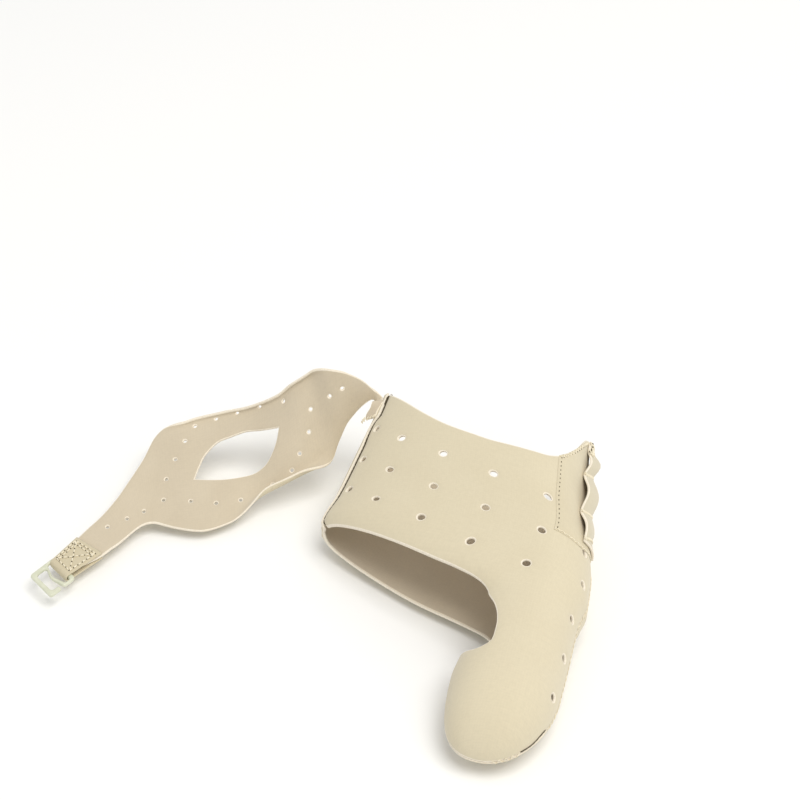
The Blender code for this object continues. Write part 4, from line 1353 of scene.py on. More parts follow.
@dataclass
class LoopStrip:
    """The strip tacked to the patch at four places, which leaves three hook loops."""

    form: BandForm
    patch: LoopPatch
    width: float = 13.4 * MM
    front: float = -1.0 * MM
    slant: float = 0.95
    bulge: float = 2.4 * MM
    fullness: float = 0.7 * MM
    closed_side: float = 0.3
    end_inset: float = 0.7 * MM
    arch: float = 1.3
    closed_width: float = 0.2
    end_fade: float = 0.08
    gap: float = 0.08 * MM
    wall: float = 0.8 * MM
    lip: float = 0.35 * MM
    step: float = 0.9 * MM
    samples: int = 54
    knot_turns: tuple[float, ...] = (10.0, 70.0, 130.0)
    knot_reach: float = 0.7 * MM
    tangle_start: float = 0.865
    tangle_length: float = 0.125
    tangle_low: float = 0.08
    tangle_width: float = 0.88

    def span(self) -> tuple[float, float]:
        """First and last place along the strip's own slanted length."""
        top = self.patch.inset + self.width * STRIP_TAPER[-1][1]
        return -self.front, self.form.rear_run(top) - 1.5 * self.patch.inset + self.slant * top

    def share(self, places: Array) -> Array:
        """Share of the strip's length at each place."""
        first, last = self.span()
        return np.clip((places[:, 1] + self.slant * places[:, 0] - first) / (last - first), 0, 1)

    def lift(self, places: Array) -> Array:
        """Height over the patch: its free edge touches at each tack and bulges between them.

        Args:
            places: (girth, run) rows.

        Returns:
            One height for each place.
        """
        share = self.share(places)
        tacks = np.array(LOOP_TACKS)
        loop = np.clip(np.searchsorted(tacks, share) - 1, 0, len(LOOP_SHARES) - 1)
        within = (share - tacks[loop]) / (tacks[loop + 1] - tacks[loop])
        table = np.array(STRIP_TAPER)
        whole = smooth_through(table[:, 0], table[:, 1], share) * self.width
        across = np.clip((places[:, 0] - 1.5 * self.patch.inset) / whole, 0, 1)
        toward_edge = eased(across)
        belly, edge = np.array(LOOP_BELLIES)[loop], np.array(LOOP_SHARES)[loop]
        wave = np.sin(math.pi * within) ** self.arch * (belly + (edge - belly) * toward_edge)
        start = np.clip(across / self.closed_width, 0, 1)
        held = self.closed_side + (1 - self.closed_side) * eased(start)
        ends = np.clip(np.minimum(share, 1 - share) / self.end_fade, 0, 1)
        return (self.bulge * wave + self.fullness * (1 - toward_edge) * ends) * held

    def surface(self, places: Array, heights: Array) -> Array:
        """Points of the strip over the patch."""
        base = self.patch.rest + self.patch.wall + self.gap + self.wall
        return self.form.layer(places, base + self.lift(places) + heights)

    def edge(self, shares: Array) -> tuple[Array, Array]:
        """Places of the seam's side and of the free upper edge at shares of the length.

        Args:
            shares: shares of the strip's length.

        Returns:
            The places of each side.
        """
        first, last = self.span()
        along = first + shares * (last - first)
        taper = smooth_through([row[0] for row in STRIP_TAPER], [row[1] for row in STRIP_TAPER], shares)
        low = np.full(len(along), 1.5 * self.patch.inset)
        high = low + taper * self.width
        last_run = self.form.rear_run(low[0]) - 2 * self.patch.inset
        lower = np.stack([low, np.minimum(along - self.slant * low, last_run)], 1)
        return lower, np.stack([high, along - self.slant * high], 1)

    def build(self) -> Object:
        """The strip.

        Returns:
            The finished strip.
        """
        lower, upper = self.edge(np.linspace(0, 1, self.samples))
        corner = np.array([lower[0, 0], self.patch.corner - self.patch.front + self.end_inset])
        front = evenly(np.array([upper[0], corner]), self.step)[1:-1]
        side = evenly(np.array([corner, lower[0]]), self.step)[:-1]
        rear = evenly(np.array([lower[-1], upper[-1]]), self.step)[1:-1]
        kept = np.concatenate([[True], np.linalg.norm(np.diff(lower, axis=0), axis=1) > 0.2 * MM])
        outline = np.vstack([side, lower[kept], rear, upper[::-1], front])
        finishes = [STRIP_LAMINATE.make(), CUT_EDGE.make(), LINING.make()]
        sheet = ClothSheet("loop_strip_laminate", [outline], self.surface, self.wall, self.lip, self.step)
        made = sheet.build(finishes)
        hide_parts("loop_strip")
        return made

    def sew(self, thread: Stitching) -> None:
        """Close zigzag over each tack, with a knot at its free end.

        Args:
            thread: takes the stitches.
        """
        for tack in LOOP_TACKS:
            low, high = self.edge(np.array([min(max(tack, 0.02), 0.98)]))
            line = np.array([low[0] + (high[0] - low[0]) * t for t in np.linspace(0.05, 0.99, 12)])
            thread.line(line, self.surface, 0.55 * MM, StitchKind.ZIGZAG, swing=0.5 * MM)
            for turn in self.knot_turns:
                thread.tuft(high[0], plan_way(turn) * self.knot_reach, self.surface, 1.4 * MM, 0.05 * MM)
        for place, way in self.tangle(26, 1.2 * MM):
            thread.tuft(place, way, self.surface, 2.6 * MM, 0.12 * MM)

    def tangle(self, count: int, reach: float) -> list[tuple[Array, Array]]:
        """Places and half lengths of crossed stitches that crowd the strip's rear end.

        Args:
            count: how many stitches.
            reach: half the length of one.

        Returns:
            The middle and the half length of each.
        """
        made = []
        for index in range(count):
            along, aside, turn = (index * step % whole for step, whole in SCATTER)
            low, high = self.edge(np.array([self.tangle_start + self.tangle_length * along]))
            place = low[0] + (high[0] - low[0]) * (self.tangle_low + self.tangle_width * aside)
            made.append((place, reach * plan_way(turn)))
        return made

    def sew_painted_shade(self, thread: Stitching) -> None:
        """Dark thread laid in the gaps between the crowded stitches as painted shade.

        Args:
            thread: takes the stitches.
        """
        for place, way in self.tangle(19, 0.5 * MM):
            thread.tuft(place + 0.5 * MM, way, self.surface, 1.0 * MM, 0.0)


def plan_vector(azimuth: Array, tilt: Array) -> Array:
    """Unit vectors of a direction in plan and a tilt above it, in degrees."""
    azimuth, tilt = np.radians(azimuth), np.radians(tilt)
    return np.stack([np.cos(tilt) * np.cos(azimuth), np.cos(tilt) * np.sin(azimuth), np.sin(tilt)], -1)


@dataclass(frozen=True)
class EdgeRoll:
    """A stretch of the strap's edge that rolls up towards the shown face."""

    side: int
    first: float
    last: float
    fade: float
    width: float
    turn: float

    def angle(self, runs: Array) -> Array:
        """Whole turn of the edge at each run, in radians.

        Args:
            runs: runs along the strap.

        Returns:
            One angle for each run.
        """
        rise = np.clip((runs / MM - self.first) / self.fade, 0, 1)
        fall = np.clip((self.last - runs / MM) / self.fade, 0, 1)
        share = rise * fall
        return math.radians(self.turn) * eased(share)


@dataclass
class HeelStrap:
    """The heel strap as straight cross lines on a curved middle line, with its slot and perforations."""

    form: BandForm
    rolls: tuple[EdgeRoll, ...]
    length: float = 114.0 * MM
    rise: float = 18.0 * MM
    strap_width: float = 41.0 * MM
    root_width: float = 3.0 * MM
    wall: float = 0.9 * MM
    step: float = 1.1 * MM
    gap: float = 0.3 * MM
    root_inset: float = 0.8 * MM
    perf_size: float = 1.0 * MM
    lens_length: float = 27.0 * MM
    lens_width: float = 16.0 * MM
    lens_place: float = 53.7 * MM
    lens_shift: float = 1.2 * MM
    tab_length: float = 10.9 * MM
    tab_fold_width: float = 8.6 * MM
    hook_bar: float = 1.6 * MM
    end_slant: float = 0.2
    end_share: float = 0.78
    least_turn: float = 1e-5
    lip: float = 0.4 * MM
    hole_lip: float = 0.3 * MM
    hole_sides: int = 14

    def __post_init__(self) -> None:
        """Works out the middle line, its cross lines and the tab's frame."""
        root_end = float(self.form.run_at(REAR_EDGE[-1][1] * self.form.band_reach))
        root_runs = np.array([root_end - self.root_width - self.root_inset, root_end - self.root_inset])
        places = np.stack([self.form.girth(root_runs, True), root_runs], 1)
        front, rear = self.form.layer(places, self.gap + self.wall / 2)
        root = (front + rear) / 2
        root_across = (rear - front) / np.linalg.norm(rear - front)
        table = np.array(STRAP_ROWS)
        shift = [-table[:, 0] * self.length, -table[:, 1] * self.length, table[:, 2] * self.rise]
        middle = root + np.stack(shift, 1)
        across = plan_vector(table[:, 4], table[:, 5])
        ahead = middle[-1] - middle[-2]
        ahead -= across[-1] * np.dot(ahead, across[-1])
        self.ahead = ahead / np.linalg.norm(ahead)
        self.across_end = across[-1]
        up = np.cross(self.across_end, self.ahead)
        self.up = up * np.sign(up[2])
        self.tab_start = middle[-1] + self.ahead * 2 * self.gap
        end = self.tab_start + self.ahead * (self.tab_length - self.hook_bar - 2 * self.gap)
        self.middle = np.vstack([root, middle, end])
        self.across = np.vstack([root_across, across, across[-1]])
        widths = table[:, 3] * self.strap_width
        self.widths = np.concatenate([[self.root_width], widths, [self.end_share * self.tab_fold_width]])
        self.runs = run_along(self.middle)

    def width(self, runs: object) -> Array:
        """Whole width at each run."""
        return smooth_through(self.runs, self.widths, runs)

    def end_points(self, ahead: Array, across: Array, up: Array) -> Array:
        """Points at the strap's end, where the hook and the tab's fold lie aslant.

        Args:
            ahead: distances from the tab's start.
            across: distances to the far side.
            up: distances above the strap.

        Returns:
            The points.
        """
        share = np.clip(ahead / self.tab_length, 0, 1)
        out = ahead + self.end_slant * (self.tab_fold_width / 2 - across) * share
        return (self.tab_start + out[:, None] * self.ahead + across[:, None] * self.across_end
                + up[:, None] * self.up)

    def points(self, places: Array) -> Array:
        """Points of the middle face at (run, across) places.

        Args:
            places: (run, across) rows.

        Returns:
            One point for each place.
        """
        middle = smooth_through(self.runs, self.middle, places[:, 0])
        across = smooth_through(self.runs, self.across, places[:, 0])
        across = unit(across)
        return middle + across * places[:, 1:2]

    def ways(self, places: Array) -> tuple[Array, Array]:
        """Changes of the middle face's points per metre of run and of width.

        Args:
            places: (run, across) rows.

        Returns:
            The changes per metre of run and per metre of width.
        """
        nudge = 0.4 * MM
        run_low = np.maximum(places[:, 0] - nudge, 0)
        run_high = np.minimum(places[:, 0] + nudge, self.runs[-1])
        low = np.stack([run_low, places[:, 1]], 1)
        high = np.stack([run_high, places[:, 1]], 1)
        along = (self.points(high) - self.points(low)) / (run_high - run_low)[:, None]
        side = np.array([0.0, nudge])
        across = (self.points(places + side) - self.points(places - side)) / (2 * nudge)
        return along, across

    def surface(self, places: Array, heights: Array) -> Array:
        """Points of the strap, whose shown face is the lining.

        Args:
            places: (run, across) rows.
            heights: heights over the shown face.

        Returns:
            One point for each place.
        """
        half = self.width(places[:, 0]) / 2
        base = places.copy()
        rise = np.zeros(len(places))
        lean = np.zeros(len(places))
        for roll in self.rolls:
            reach = roll.width * MM
            into = np.clip(reach - (half - roll.side * places[:, 1]), 0, None)
            turn = np.maximum(roll.angle(places[:, 0]) * into / reach, self.least_turn)
            base[:, 1] -= roll.side * into * (1 - np.sin(turn) / turn)
            rise += into * (1 - np.cos(turn)) / turn
            lean += roll.side * turn * (into > 0)
        along, across = self.ways(base)
        normal = np.cross(across, along)
        normal = unit(normal)
        outward = unit(across)
        tipped = normal * np.cos(lean)[:, None] - outward * np.sin(lean)[:, None]
        return self.points(base) + normal * rise[:, None] + tipped * (self.wall / 2 + heights)[:, None]

    def outline(self) -> Array:
        """The strap's outline in (run, across) places.

        Returns:
            The closed outline.
        """
        rows = np.linspace(0, self.runs[-1], int(round(self.runs[-1] / self.step)) + 1)
        half = self.width(rows) / 2
        line = np.linspace(-0.5, 0.5, 8)[1:-1]
        end = np.stack([np.full_like(line, self.runs[-1]), line * self.width([self.runs[-1]])[0]], 1)
        start = np.stack([np.zeros_like(line), -line * self.width([0.0])[0]], 1)
        return np.vstack([np.stack([rows, -half], 1), end, np.stack([rows, half], 1)[::-1], start])

    def lens(self) -> Array:
        """Outline of the slot, with its two sharp tips.

        Returns:
            The closed outline of the slot.
        """
        size = np.array([self.lens_length, self.lens_width])
        sides = [curve_through(np.array(rows) * size, self.step) for rows in (LENS_UPPER, LENS_LOWER)]
        return np.array([self.lens_place, self.lens_shift]) + np.vstack([side[:-1] for side in sides])

    def hole(self, centre: tuple[float, float]) -> Array:
        """Outline of a hole that is round on the strap itself.

        Args:
            centre: its (run, across) place.

        Returns:
            The hole's outline.
        """
        along, across = (way[0] for way in self.ways(np.array([centre])))
        shear = np.dot(along, across)
        square = np.linalg.norm(along - across * shear)
        turn = np.arange(self.hole_sides) * 2 * math.pi / self.hole_sides
        run_part = self.perf_size / 2 * np.sin(turn) / square
        side_part = self.perf_size / 2 * np.cos(turn) - shear * run_part
        return np.stack([centre[0] + run_part, centre[1] + side_part], 1)

    def hole_centres(self) -> list[tuple[float, float]]:
        """Centres of the perforations: a ring round the slot and a row to each end.

        Returns:
            One (run, across) place for each hole.
        """
        size = np.array([self.lens_length, self.strap_width])
        ring = np.array(PERF_RING) * size + np.array([self.lens_place, self.lens_shift])
        centres = [tuple(place) for place in ring]
        for along, share in PERF_ROWS:
            run = along * self.length
            centres.append((run, share * float(self.width([run])[0])))
        return centres

    def build(self, flap: Object) -> Object:
        """The strap as one sheet; the flap at its root is a piece of its own.

        Args:
            flap: the flap, already built; not used.

        Returns:
            The finished strap.
        """
        outline = self.outline()
        holes = [self.hole(c) for c in self.hole_centres() if clear_of(c, outline, self.perf_size)]
        finishes = [STRAP_LINING_AND_SHADE.make(), CUT_EDGE.make(), LAMINATE.make()]
        loops = [outline, self.lens(), *holes]
        sheet = ClothSheet("heel_strap_laminate", loops, self.surface, self.wall, self.lip, self.step,
                           hole_lip=self.hole_lip)
        made = sheet.build(finishes)
        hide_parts("heel_strap")
        return made


@dataclass
class StrapRoot:
    """The strap's sewn root: a short flap, outer face up, that hangs from the neck beside the outer seam."""

    form: BandForm
    panels: Panels
    seam_length: float = 6.4 * MM
    reach: float = 5.0 * MM
    stand: float = 0.9 * MM
    belly: float = 0.6 * MM
    valley: float = 2.0 * MM
    wall: float = 0.9 * MM
    lip: float = 0.3 * MM
    step: float = 0.6 * MM
    seam_start: float = 6.6 * MM
    tuft_turns: tuple[float, ...] = (20.0, 75.0, 140.0)
    tuft_reach: float = 1.1 * MM

    def __post_init__(self) -> None:
        """Works out the flap's four corners from the rear end of the outer seam."""
        end = float(self.form.run_at(REAR_EDGE[-1][1] * self.form.band_reach))
        runs = np.array([end - self.seam_start, end - self.seam_start - self.seam_length])
        girths = self.form.girth(runs, True) - self.panels.rise(runs)
        rear, front = self.form.layer(np.stack([girths, runs], 1), self.stand)
        self.corners = np.array([
            rear + np.array([0.2, -0.4, -0.7]) * MM, front + np.array([-0.7, 0.0, -2.2]) * MM,
            rear + np.array([-0.84 * self.reach, -2.0 * MM, -1.0 * MM]),
            front + np.array([-0.9 * self.reach, 0.8 * MM, -5.0 * MM]),
        ])

    def points(self, places: Array) -> Array:
        """Points of the middle face at (outward, forward) places.

        Args:
            places: (outward, forward) rows.

        Returns:
            One point for each place.
        """
        u = (places[:, 0] / self.reach)[:, None]
        v = (places[:, 1] / self.seam_length)[:, None]
        rear, front, rear_out, front_out = self.corners
        flat = (1 - u) * (1 - v) * rear + (1 - u) * v * front + u * (1 - v) * rear_out + u * v * front_out
        bow = np.sin(math.pi * np.clip(v, 0, 1)) * self.belly * (0.4 + 0.6 * np.clip(u, 0, 1))
        behind = np.clip((0.28 - v) / 0.42, 0, 1) * self.valley
        return flat + bow * np.array([-0.3, 0.5, -0.8]) + behind * np.array([0.0, 0.3, -1.0])

    def surface(self, places: Array, heights: Array) -> Array:
        """Points of the flap.

        Args:
            places: (outward, forward) rows.
            heights: heights over the shown face.

        Returns:
            One point for each place.
        """
        nudge = 0.2 * MM
        out = self.points(places + np.array([nudge, 0.0])) - self.points(places - np.array([nudge, 0.0]))
        fore = self.points(places + np.array([0.0, nudge])) - self.points(places - np.array([0.0, nudge]))
        normal = np.cross(out, fore)
        normal = unit(normal)
        normal *= np.sign(normal[:, 2:3])
        return self.points(places) + normal * (self.wall / 2 + heights)[:, None]

    def build(self) -> Object:
        """The flap.

        Returns:
            The finished flap.
        """
        corners = [(out * self.reach, along * self.seam_length) for out, along in FLAP_OUTLINE]
        outline = curve_through(corners, self.step, closed=True)
        sheet = ClothSheet("strap_root_laminate", [outline], self.surface, self.wall, self.lip, self.step)
        # The flap shows its outer face, but takes the darker lining finish as painted shade.
        made = sheet.build([LINING.make(), CUT_EDGE.make(), STRAP_LINING_AND_SHADE.make()])
        return made

    def sew(self, thread: Stitching) -> None:
        """The tuft of thread at the flap's front end.

        Args:
            thread: takes the stitches.
        """
        reach, length = self.reach, self.seam_length
        front = np.array([(0.1 * reach, 1.0 * length), (1.1 * reach, 1.0 * length)])
        thread.line(front, self.surface, 0.7 * MM, StitchKind.ZIGZAG, swing=0.5 * MM)
        for turn in self.tuft_turns:
            thread.tuft(front[1], plan_way(turn) * self.tuft_reach, self.surface, 1.5 * MM, 0.1 * MM)


@dataclass
class StrapTab:
    """The tab folded round the hook's first bar and sewn through the strap's end."""

    strap: HeelStrap
    width: float = 10.8 * MM
    wall: float = 0.75 * MM
    room: float = 0.66 * MM
    fold_reach: float = 0.3 * MM
    leaf_samples: int = 25
    fold_samples: int = 15
    sides: int = 28
    near: float = 1.5 * MM
    far: float = 10.4 * MM
    side: float = 4.2 * MM
    narrowing: float = 0.8
    second_row: float = 0.95 * MM
    second_side: float = 0.9 * MM
    pitch: float = 1.75 * MM

    def path(self) -> Array:
        """The tab's middle line as (ahead, up) points, from the upper leaf round the bar to the lower one.

        Returns:
            The line's points.
        """
        bend = self.room + self.wall / 2
        fold_start = self.strap.tab_length + self.strap.hook_bar / 2 - self.room + self.fold_reach
        leaf = np.linspace(0, fold_start, self.leaf_samples + 1)[:-1]
        turn = np.linspace(math.pi / 2, -math.pi / 2, self.fold_samples)
        over = np.stack([leaf, np.full(self.leaf_samples, bend)], 1)
        fold = np.stack([fold_start + bend * np.cos(turn), bend * np.sin(turn)], 1)
        return np.vstack([over, fold, over[::-1] * np.array([1, -1])])

    def half_width(self, ahead: Array) -> Array:
        """Half the tab's width, which narrows towards the fold."""
        share = np.clip(ahead / self.strap.tab_length, 0, 1)
        return (self.width + (self.strap.tab_fold_width - self.width) * share) / 2

    def surface(self, places: Array, heights: Array) -> Array:
        """Points of the upper leaf at (ahead, across) places."""
        return self.strap.end_points(places[:, 0], places[:, 1], self.room + self.wall + heights)

    def build(self) -> Object:
        """The folded tab as one swept band with rounded edges.

        Returns:
            The finished tab.
        """
        strap = self.strap
        path = self.path()
        ahead = np.gradient(path, axis=0)
        ahead = unit(ahead)
        normal = np.stack([-ahead[:, 1], ahead[:, 0]], 1)
        sides = self.sides
        turn = np.arange(sides) * 2 * math.pi / sides
        side = np.sign(np.cos(turn)) * np.abs(np.cos(turn)) ** 0.35
        out = np.sign(np.sin(turn)) * np.abs(np.sin(turn)) ** 0.6 * self.wall / 2
        half = self.half_width(path[:, 0])
        rows = [strap.end_points(a + na * out, w * side, u + nu * out)
                for (a, u), (na, nu), w in zip(path, normal, half)]
        faces = []
        for row in range(len(path) - 1):
            faces += faces_between(row * sides, (row + 1) * sides, sides)
        faces.append(tuple(reversed(range(sides))))
        faces.append(tuple((len(path) - 1) * sides + i for i in range(sides)))
        points = np.vstack(rows)
        cloth = np.column_stack([(points - strap.tab_start) @ strap.across_end,
                                 (points - strap.tab_start) @ strap.ahead, np.zeros(len(points))])
        made = add_mesh("woven_tab", points, faces, [WEBBING.make()], None, cloth)
        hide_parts("strap_tab")
        return made

    def sewn_lines(self) -> list[Array]:
        """A box with a cross in it, and a second row along its near and left sides.

        Returns:
            The two ends of each line.
        """
        near, far, side = self.near, self.far, self.side
        narrow = self.narrowing * side
        corners = np.array([(near, -side), (near, side), (far, narrow), (far, -narrow)])
        lines = [corners[[a, b]] for a, b in ((0, 1), (1, 2), (2, 3), (3, 0), (0, 2), (1, 3))]
        lines.append(np.array([(near + self.second_row, -side), (near + self.second_row, side)]))
        lines.append(np.array([(near, side - self.second_side), (far, narrow - self.second_side)]))
        return lines

    def sew(self, thread: Stitching) -> None:
        """Bold light stitches along each sewn line."""
        for line in self.sewn_lines():
            thread.line(line, self.surface, self.pitch, share=0.76)

    def sew_painted_shade(self, thread: Stitching) -> None:
        """Dark thread laid between the stitches as painted shade for the needle holes.

        Args:
            thread: takes the stitches.
        """
        for line in self.sewn_lines():
            ahead = (line[1] - line[0]) / np.linalg.norm(line[1] - line[0])
            between = line + ahead * 1.36 * MM
            thread.line(between, self.surface, self.pitch, share=0.16, lift=-0.02 * MM)


@dataclass
class FlatHook:
    """The flat hook: a slot for the tab, a bowed second bar and an open square hook beyond it."""

    strap: HeelStrap
    bar: float = 1.6 * MM
    side: float = 1.0 * MM
    thick: float = 1.2 * MM
    slot: float = 1.9 * MM
    bow: float = 1.5 * MM
    reach: float = 4.9 * MM
    back: float = 2.9 * MM
    shift: float = -0.5 * MM
    tab_room: float = 0.3 * MM
    outer_radius: float = 1.2 * MM
    slot_radius: float = 0.6 * MM
    edge_radius: float = 0.5 * MM
    step: float = 0.45 * MM
    fine_step: float = 0.35 * MM

    def outlines(self) -> tuple[Array, Array]:
        """Outer outline and slot in (ahead, across) places from the middle of the first bar.

        Returns:
            The outer outline and the slot's.
        """
        half = self.strap.tab_fold_width / 2 + self.tab_room + self.side
        rear, slot_start = -self.bar / 2, self.bar / 2
        slot_end = slot_start + self.slot
        bar_end = slot_end + self.side
        arm_start = bar_end + self.reach - self.bar / 2
        arm_end = arm_start + self.bar
        tip = arm_end - self.bar - self.back
        outer = [
            (rear, -half), (bar_end, -half), (bar_end + self.bow, 0.0), (bar_end, half - self.bar),
            (arm_start, half - self.bar), (arm_start, self.bar - half), (tip, self.bar - half), (tip, -half),
            (arm_end, -half), (arm_end, half), (rear, half),
        ]
        slot = [
            (slot_start, self.side - half), (slot_start, half - self.side), (slot_end, half - self.side),
            (slot_end + self.bow, 0.0), (slot_end, self.side - half),
        ]
        aside = np.array([0.0, self.shift])
        return self.rounded(outer, self.outer_radius) + aside, self.rounded(slot, self.slot_radius) + aside

    def rounded(self, corners: list, radius: float) -> Array:
        """A closed outline with each corner turned into a short arc and long sides cut into steps.

        Args:
            corners: the outline's corners.
            radius: how far an arc reaches from its corner.

        Returns:
            The rounded outline.
        """
        corners = np.asarray(corners, float)
        outline = []
        for index, corner in enumerate(corners):
            before = corners[index - 1] - corner
            after = corners[(index + 1) % len(corners)] - corner
            longest = 0.45 * min(np.linalg.norm(before), np.linalg.norm(after))
            reach = min(radius, longest)
            before /= np.linalg.norm(before)
            after /= np.linalg.norm(after)
            for t in np.linspace(0, 1, 7):
                outline.append(corner + before * reach * (1 - t) ** 2 + after * reach * t ** 2)
        outline = np.array(outline)
        return evenly(np.vstack([outline, outline[:1]]), self.fine_step)[:-1]

    def surface(self, places: Array, heights: Array) -> Array:
        """Points of the hook in the tab's plane."""
        ahead = self.strap.tab_length + places[:, 0]
        return self.strap.end_points(ahead, places[:, 1], self.thick / 2 + heights)

    def build(self) -> Object:
        """The hook as a bar with a nearly round section.

        Returns:
            The finished hook.
        """
        finish = COATED_WIRE.make()
        sheet = ClothSheet("coated_hook", list(self.outlines()), self.surface, self.thick, self.edge_radius,
                           self.step, rings=9)
        made = sheet.build([finish, finish, finish])
        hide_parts("hook")
        return made


@dataclass
class Studio:
    """The pale floor, the soft lights and the camera."""

    azimuth: float = 12.0
    elevation: float = 38.0
    camera_place: tuple[float, float, float] = (68.96 * MM, -408.68 * MM, 367.26 * MM)
    lens_mm: float = 83.16
    floor_height: float = -19.6 * MM

    def camera(self) -> None:
        """The camera at the photograph's viewing angle."""
        azimuth, elevation = math.radians(self.azimuth), math.radians(self.elevation)
        back = Vector((math.sin(azimuth) * math.cos(elevation), -math.cos(azimuth) * math.cos(elevation),
                       math.sin(elevation)))
        right = Vector((math.cos(azimuth), math.sin(azimuth), 0.0))
        up = back.cross(right)
        data = bpy.data.cameras.new("studio_camera")
        data.lens = self.lens_mm
        data.sensor_width = 36.0
        data.clip_start = 0.01
        made = bpy.data.objects.new("studio_camera", data)
        turn = Matrix((right, up, back)).transposed().to_4x4()
        made.matrix_world = Matrix.Translation(self.camera_place) @ turn
        bpy.context.scene.collection.objects.link(made)
        bpy.context.scene.camera = made

    def area_light(self, name: str, place: tuple[float, float, float], size: float, power: float,
                   hex_colour: str) -> None:
        """One soft square light that looks at the part.

        Args:
            name: the light's name.
            place: where it hangs.
            size: its side.
            power: its power in watts.
            hex_colour: its colour.
        """
        data = bpy.data.lights.new(name, "AREA")
        data.size = size
        data.energy = power
        data.color = linear(hex_colour)[:3]
        made = bpy.data.objects.new(name, data)
        made.location = place
        made.rotation_euler = (-Vector(place)).to_track_quat("-Z", "Y").to_euler()
        bpy.context.scene.collection.objects.link(made)

    def lights(self) -> None:
        """A white surround and a large key light from above and the right."""
        world = bpy.data.worlds.new("white_surround")
        world.use_nodes = True
        background = world.node_tree.nodes["Background"]
        background.inputs["Color"].default_value = (1.0, 1.0, 1.0, 1.0)
        background.inputs["Strength"].default_value = 0.62
        bpy.context.scene.world = world
        self.area_light("key_light", (0.60, -0.40, 1.80), 1.2, 23.0, "#fffdf9")

    def floor(self) -> None:
        """A white floor under the part."""
        size = 6.0
        points = np.array([(-size, -size, self.floor_height), (size, -size, self.floor_height),
                           (size, size, self.floor_height), (-size, size, self.floor_height)])
        mesh = bpy.data.meshes.new("studio_floor")
        mesh.from_pydata(points.tolist(), [], [(0, 1, 2, 3)])
        paint = start_material("matt_white_paint", {"Base Color": linear("#fbfbfa"), "Roughness": 0.9})
        mesh.materials.append(paint[0])
        made = bpy.data.objects.new("studio_floor", mesh)
        bpy.context.scene.collection.objects.link(made)


# Where the strap's near and far edge roll up, in millimetres and degrees.
STRAP_ROLLS = (
    EdgeRoll(-1, 20.0, 58.0, 15.0, 4.8, 158.0),
    EdgeRoll(1, 18.0, 78.0, 9.0, 2.3, 135.0),
)


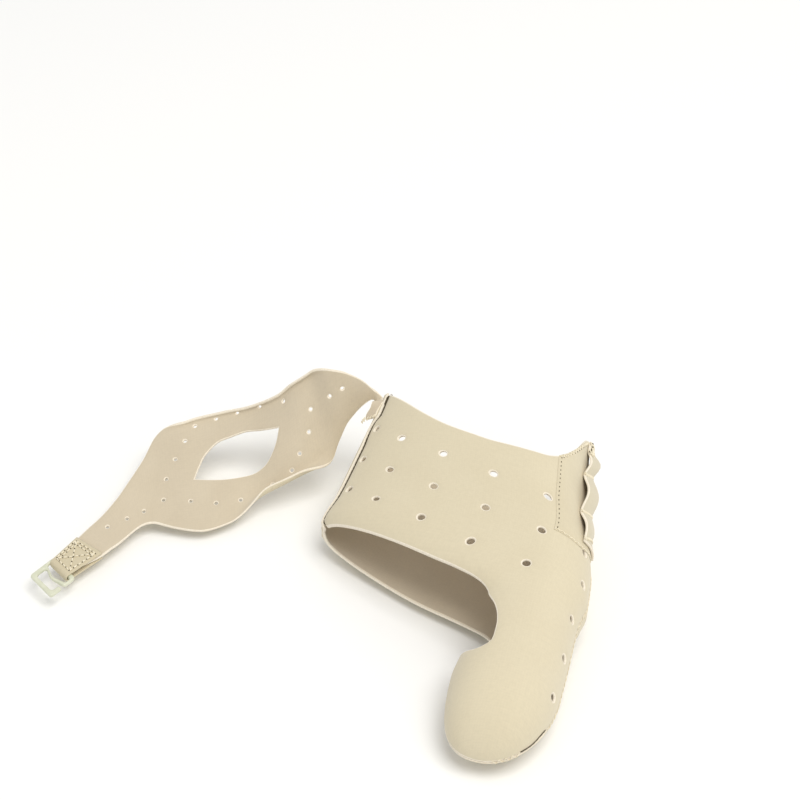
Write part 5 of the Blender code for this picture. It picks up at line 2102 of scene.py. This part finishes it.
@dataclass
class InnerSeam:
    """The zigzag over the inner seam up to the sheath's tip, and a stretch of dark thread, painted shade,
    just beside the tip.
    """

    form: BandForm
    angle: float = 0.02
    step: float = 0.3 * MM
    samples: int = 240
    pitch: float = 0.95 * MM
    swing: float = 0.75 * MM
    stand_out: float = 0.9
    tip_inset: float = 0.2 * MM
    gap_start: float = 12.0 * MM
    gap_end: float = 3.6 * MM
    sunk_angle: float = 0.055
    wobble: float = 0.018
    wave: float = 1.3 * MM

    def surface(self, places: Array, heights: Array) -> Array:
        """Points over the seam, halfway between the upper and the sole.

        Args:
            places: (0, station) rows.
            heights: distance of each above the seam.

        Returns:
            One point for each place.
        """
        form, stations = self.form, places[:, 1]
        angle = np.full((len(places), 1), self.angle)
        middle = (form.points(stations, angle, True)[:, 0] + form.points(stations, angle, False)[:, 0]) / 2
        out = unit(form.normals(stations, angle, True) + form.normals(stations, angle, False))
        return middle + out * heights[:, None]

    def beside(self, places: Array, heights: Array) -> Array:
        """Points of the upper face just above the seam.

        Args:
            places: (0, station) rows.
            heights: distance of each above the face.

        Returns:
            One point for each place.
        """
        angle = self.sunk_angle + self.wobble * np.sin(places[:, 1:2] / self.wave)
        face = self.form.points(places[:, 1], angle, True)[:, 0]
        return face + self.form.normals(places[:, 1], angle, True) * heights[:, None]

    def even_places(self, first: float, last: float) -> Array:
        """Places evenly spaced along the seam.

        Args:
            first: first station.
            last: last station.

        Returns:
            The (0, station) places.
        """
        stations = np.linspace(first, last, self.samples)
        zero = np.zeros_like(stations)
        length = run_along(self.surface(np.stack([zero, stations], 1), zero))
        marks = np.linspace(0, length[-1], int(length[-1] / self.step))
        even = np.interp(marks, length, stations)
        return np.stack([np.zeros_like(even), even], 1)

    def zigzag(self, thread: Stitching, places: Array) -> None:
        """Zigzag stitches along evenly spaced places.

        Args:
            thread: takes the stitches.
            places: (0, station) rows.
        """
        zero = np.zeros(len(places))
        points = self.surface(places, zero)
        out = unit(self.surface(places, zero + PROBE) - points)
        run = run_along(points)
        picked = np.searchsorted(run, np.arange(0, run[-1], self.pitch))
        for index, (low, high) in enumerate(zip(picked[:-1], picked[1:])):
            side = np.cross(out[low], points[high] - points[low])
            side /= np.linalg.norm(side) + TINY
            aside = side * self.swing * (1 if index % 2 else -1)
            thread.add(points[low] + aside, points[high] - aside, out[low], self.stand_out * thread.radius)

    def tip(self) -> float:
        """Station at which the stitches end."""
        return self.form.stations[-1] + self.tip_inset

    def sew(self, thread: Stitching) -> None:
        """The zigzag from the rear edge to the tip, without the stretch of painted shade."""
        tip, rear = self.tip(), REAR_EDGE[0][1] * self.form.band_reach
        for first, last in ((rear, tip + self.gap_start), (tip + self.gap_end, tip)):
            self.zigzag(thread, self.even_places(first, last))

    def sew_painted_shade(self, thread: Stitching) -> None:
        """The stretch of dark thread beside the tip, coloured as painted shade."""
        places = self.even_places(self.tip() + self.gap_start, self.tip() + self.gap_end)
        thread.line(places, self.beside, 1.4 * MM, share=1.4, lift=-0.12 * MM)


def main() -> None:
    """Builds the corrector piece by piece, then the studio."""
    logging.basicConfig(level=logging.INFO, format="%(name)s: %(message)s")
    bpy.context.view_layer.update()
    form = BandForm()
    panels = Panels(form)
    for made in panels.build():
        log.info("%s: %d faces", made.name, len(made.data.polygons))
    patch = LoopPatch(form)
    strip = LoopStrip(form, patch)
    strap = HeelStrap(form, STRAP_ROLLS)
    tab = StrapTab(strap)
    root = StrapRoot(form, panels)
    flap = root.build()
    hook = FlatHook(strap)
    for made in (patch.build(), strip.build(), flap, strap.build(flap), tab.build(), hook.build()):
        log.info("%s: %d faces", made.name, len(made.data.polygons))
    # dark: the thread finish coloured as painted shade.
    light, dark = THREAD.make(), PAINTED_SHADE_THREAD.make()
    seam = InnerSeam(form)
    for name, radius, sew, finish in (
        ("patch_thread", 0.16, patch.sew, light), ("loop_thread", 0.16, strip.sew, light),
        ("root_thread", 0.18, root.sew, light), ("tab_thread", 0.24, tab.sew, light),
        ("patch_thread_painted_shade", 0.11, patch.sew_painted_shade, dark), ("loop_thread_painted_shade", 0.15, strip.sew_painted_shade, dark),
        ("tab_thread_painted_shade", 0.19, tab.sew_painted_shade, dark), ("seam_thread_painted_shade", 0.24, panels.sew, dark),
        ("seam_thread", 0.14, seam.sew, light), ("tip_thread_painted_shade", 0.20, seam.sew_painted_shade, dark),
    ):
        thread = Stitching(name, radius=radius * MM)
        sew(thread)
        thread.build(finish)
        log.info("%s: %d stitches", name, len(thread.stitches))
    studio = Studio()
    studio.camera()
    studio.lights()
    studio.floor()
    bpy.context.scene.view_settings.view_transform = "Standard"


if __name__ == "__main__":
    main()
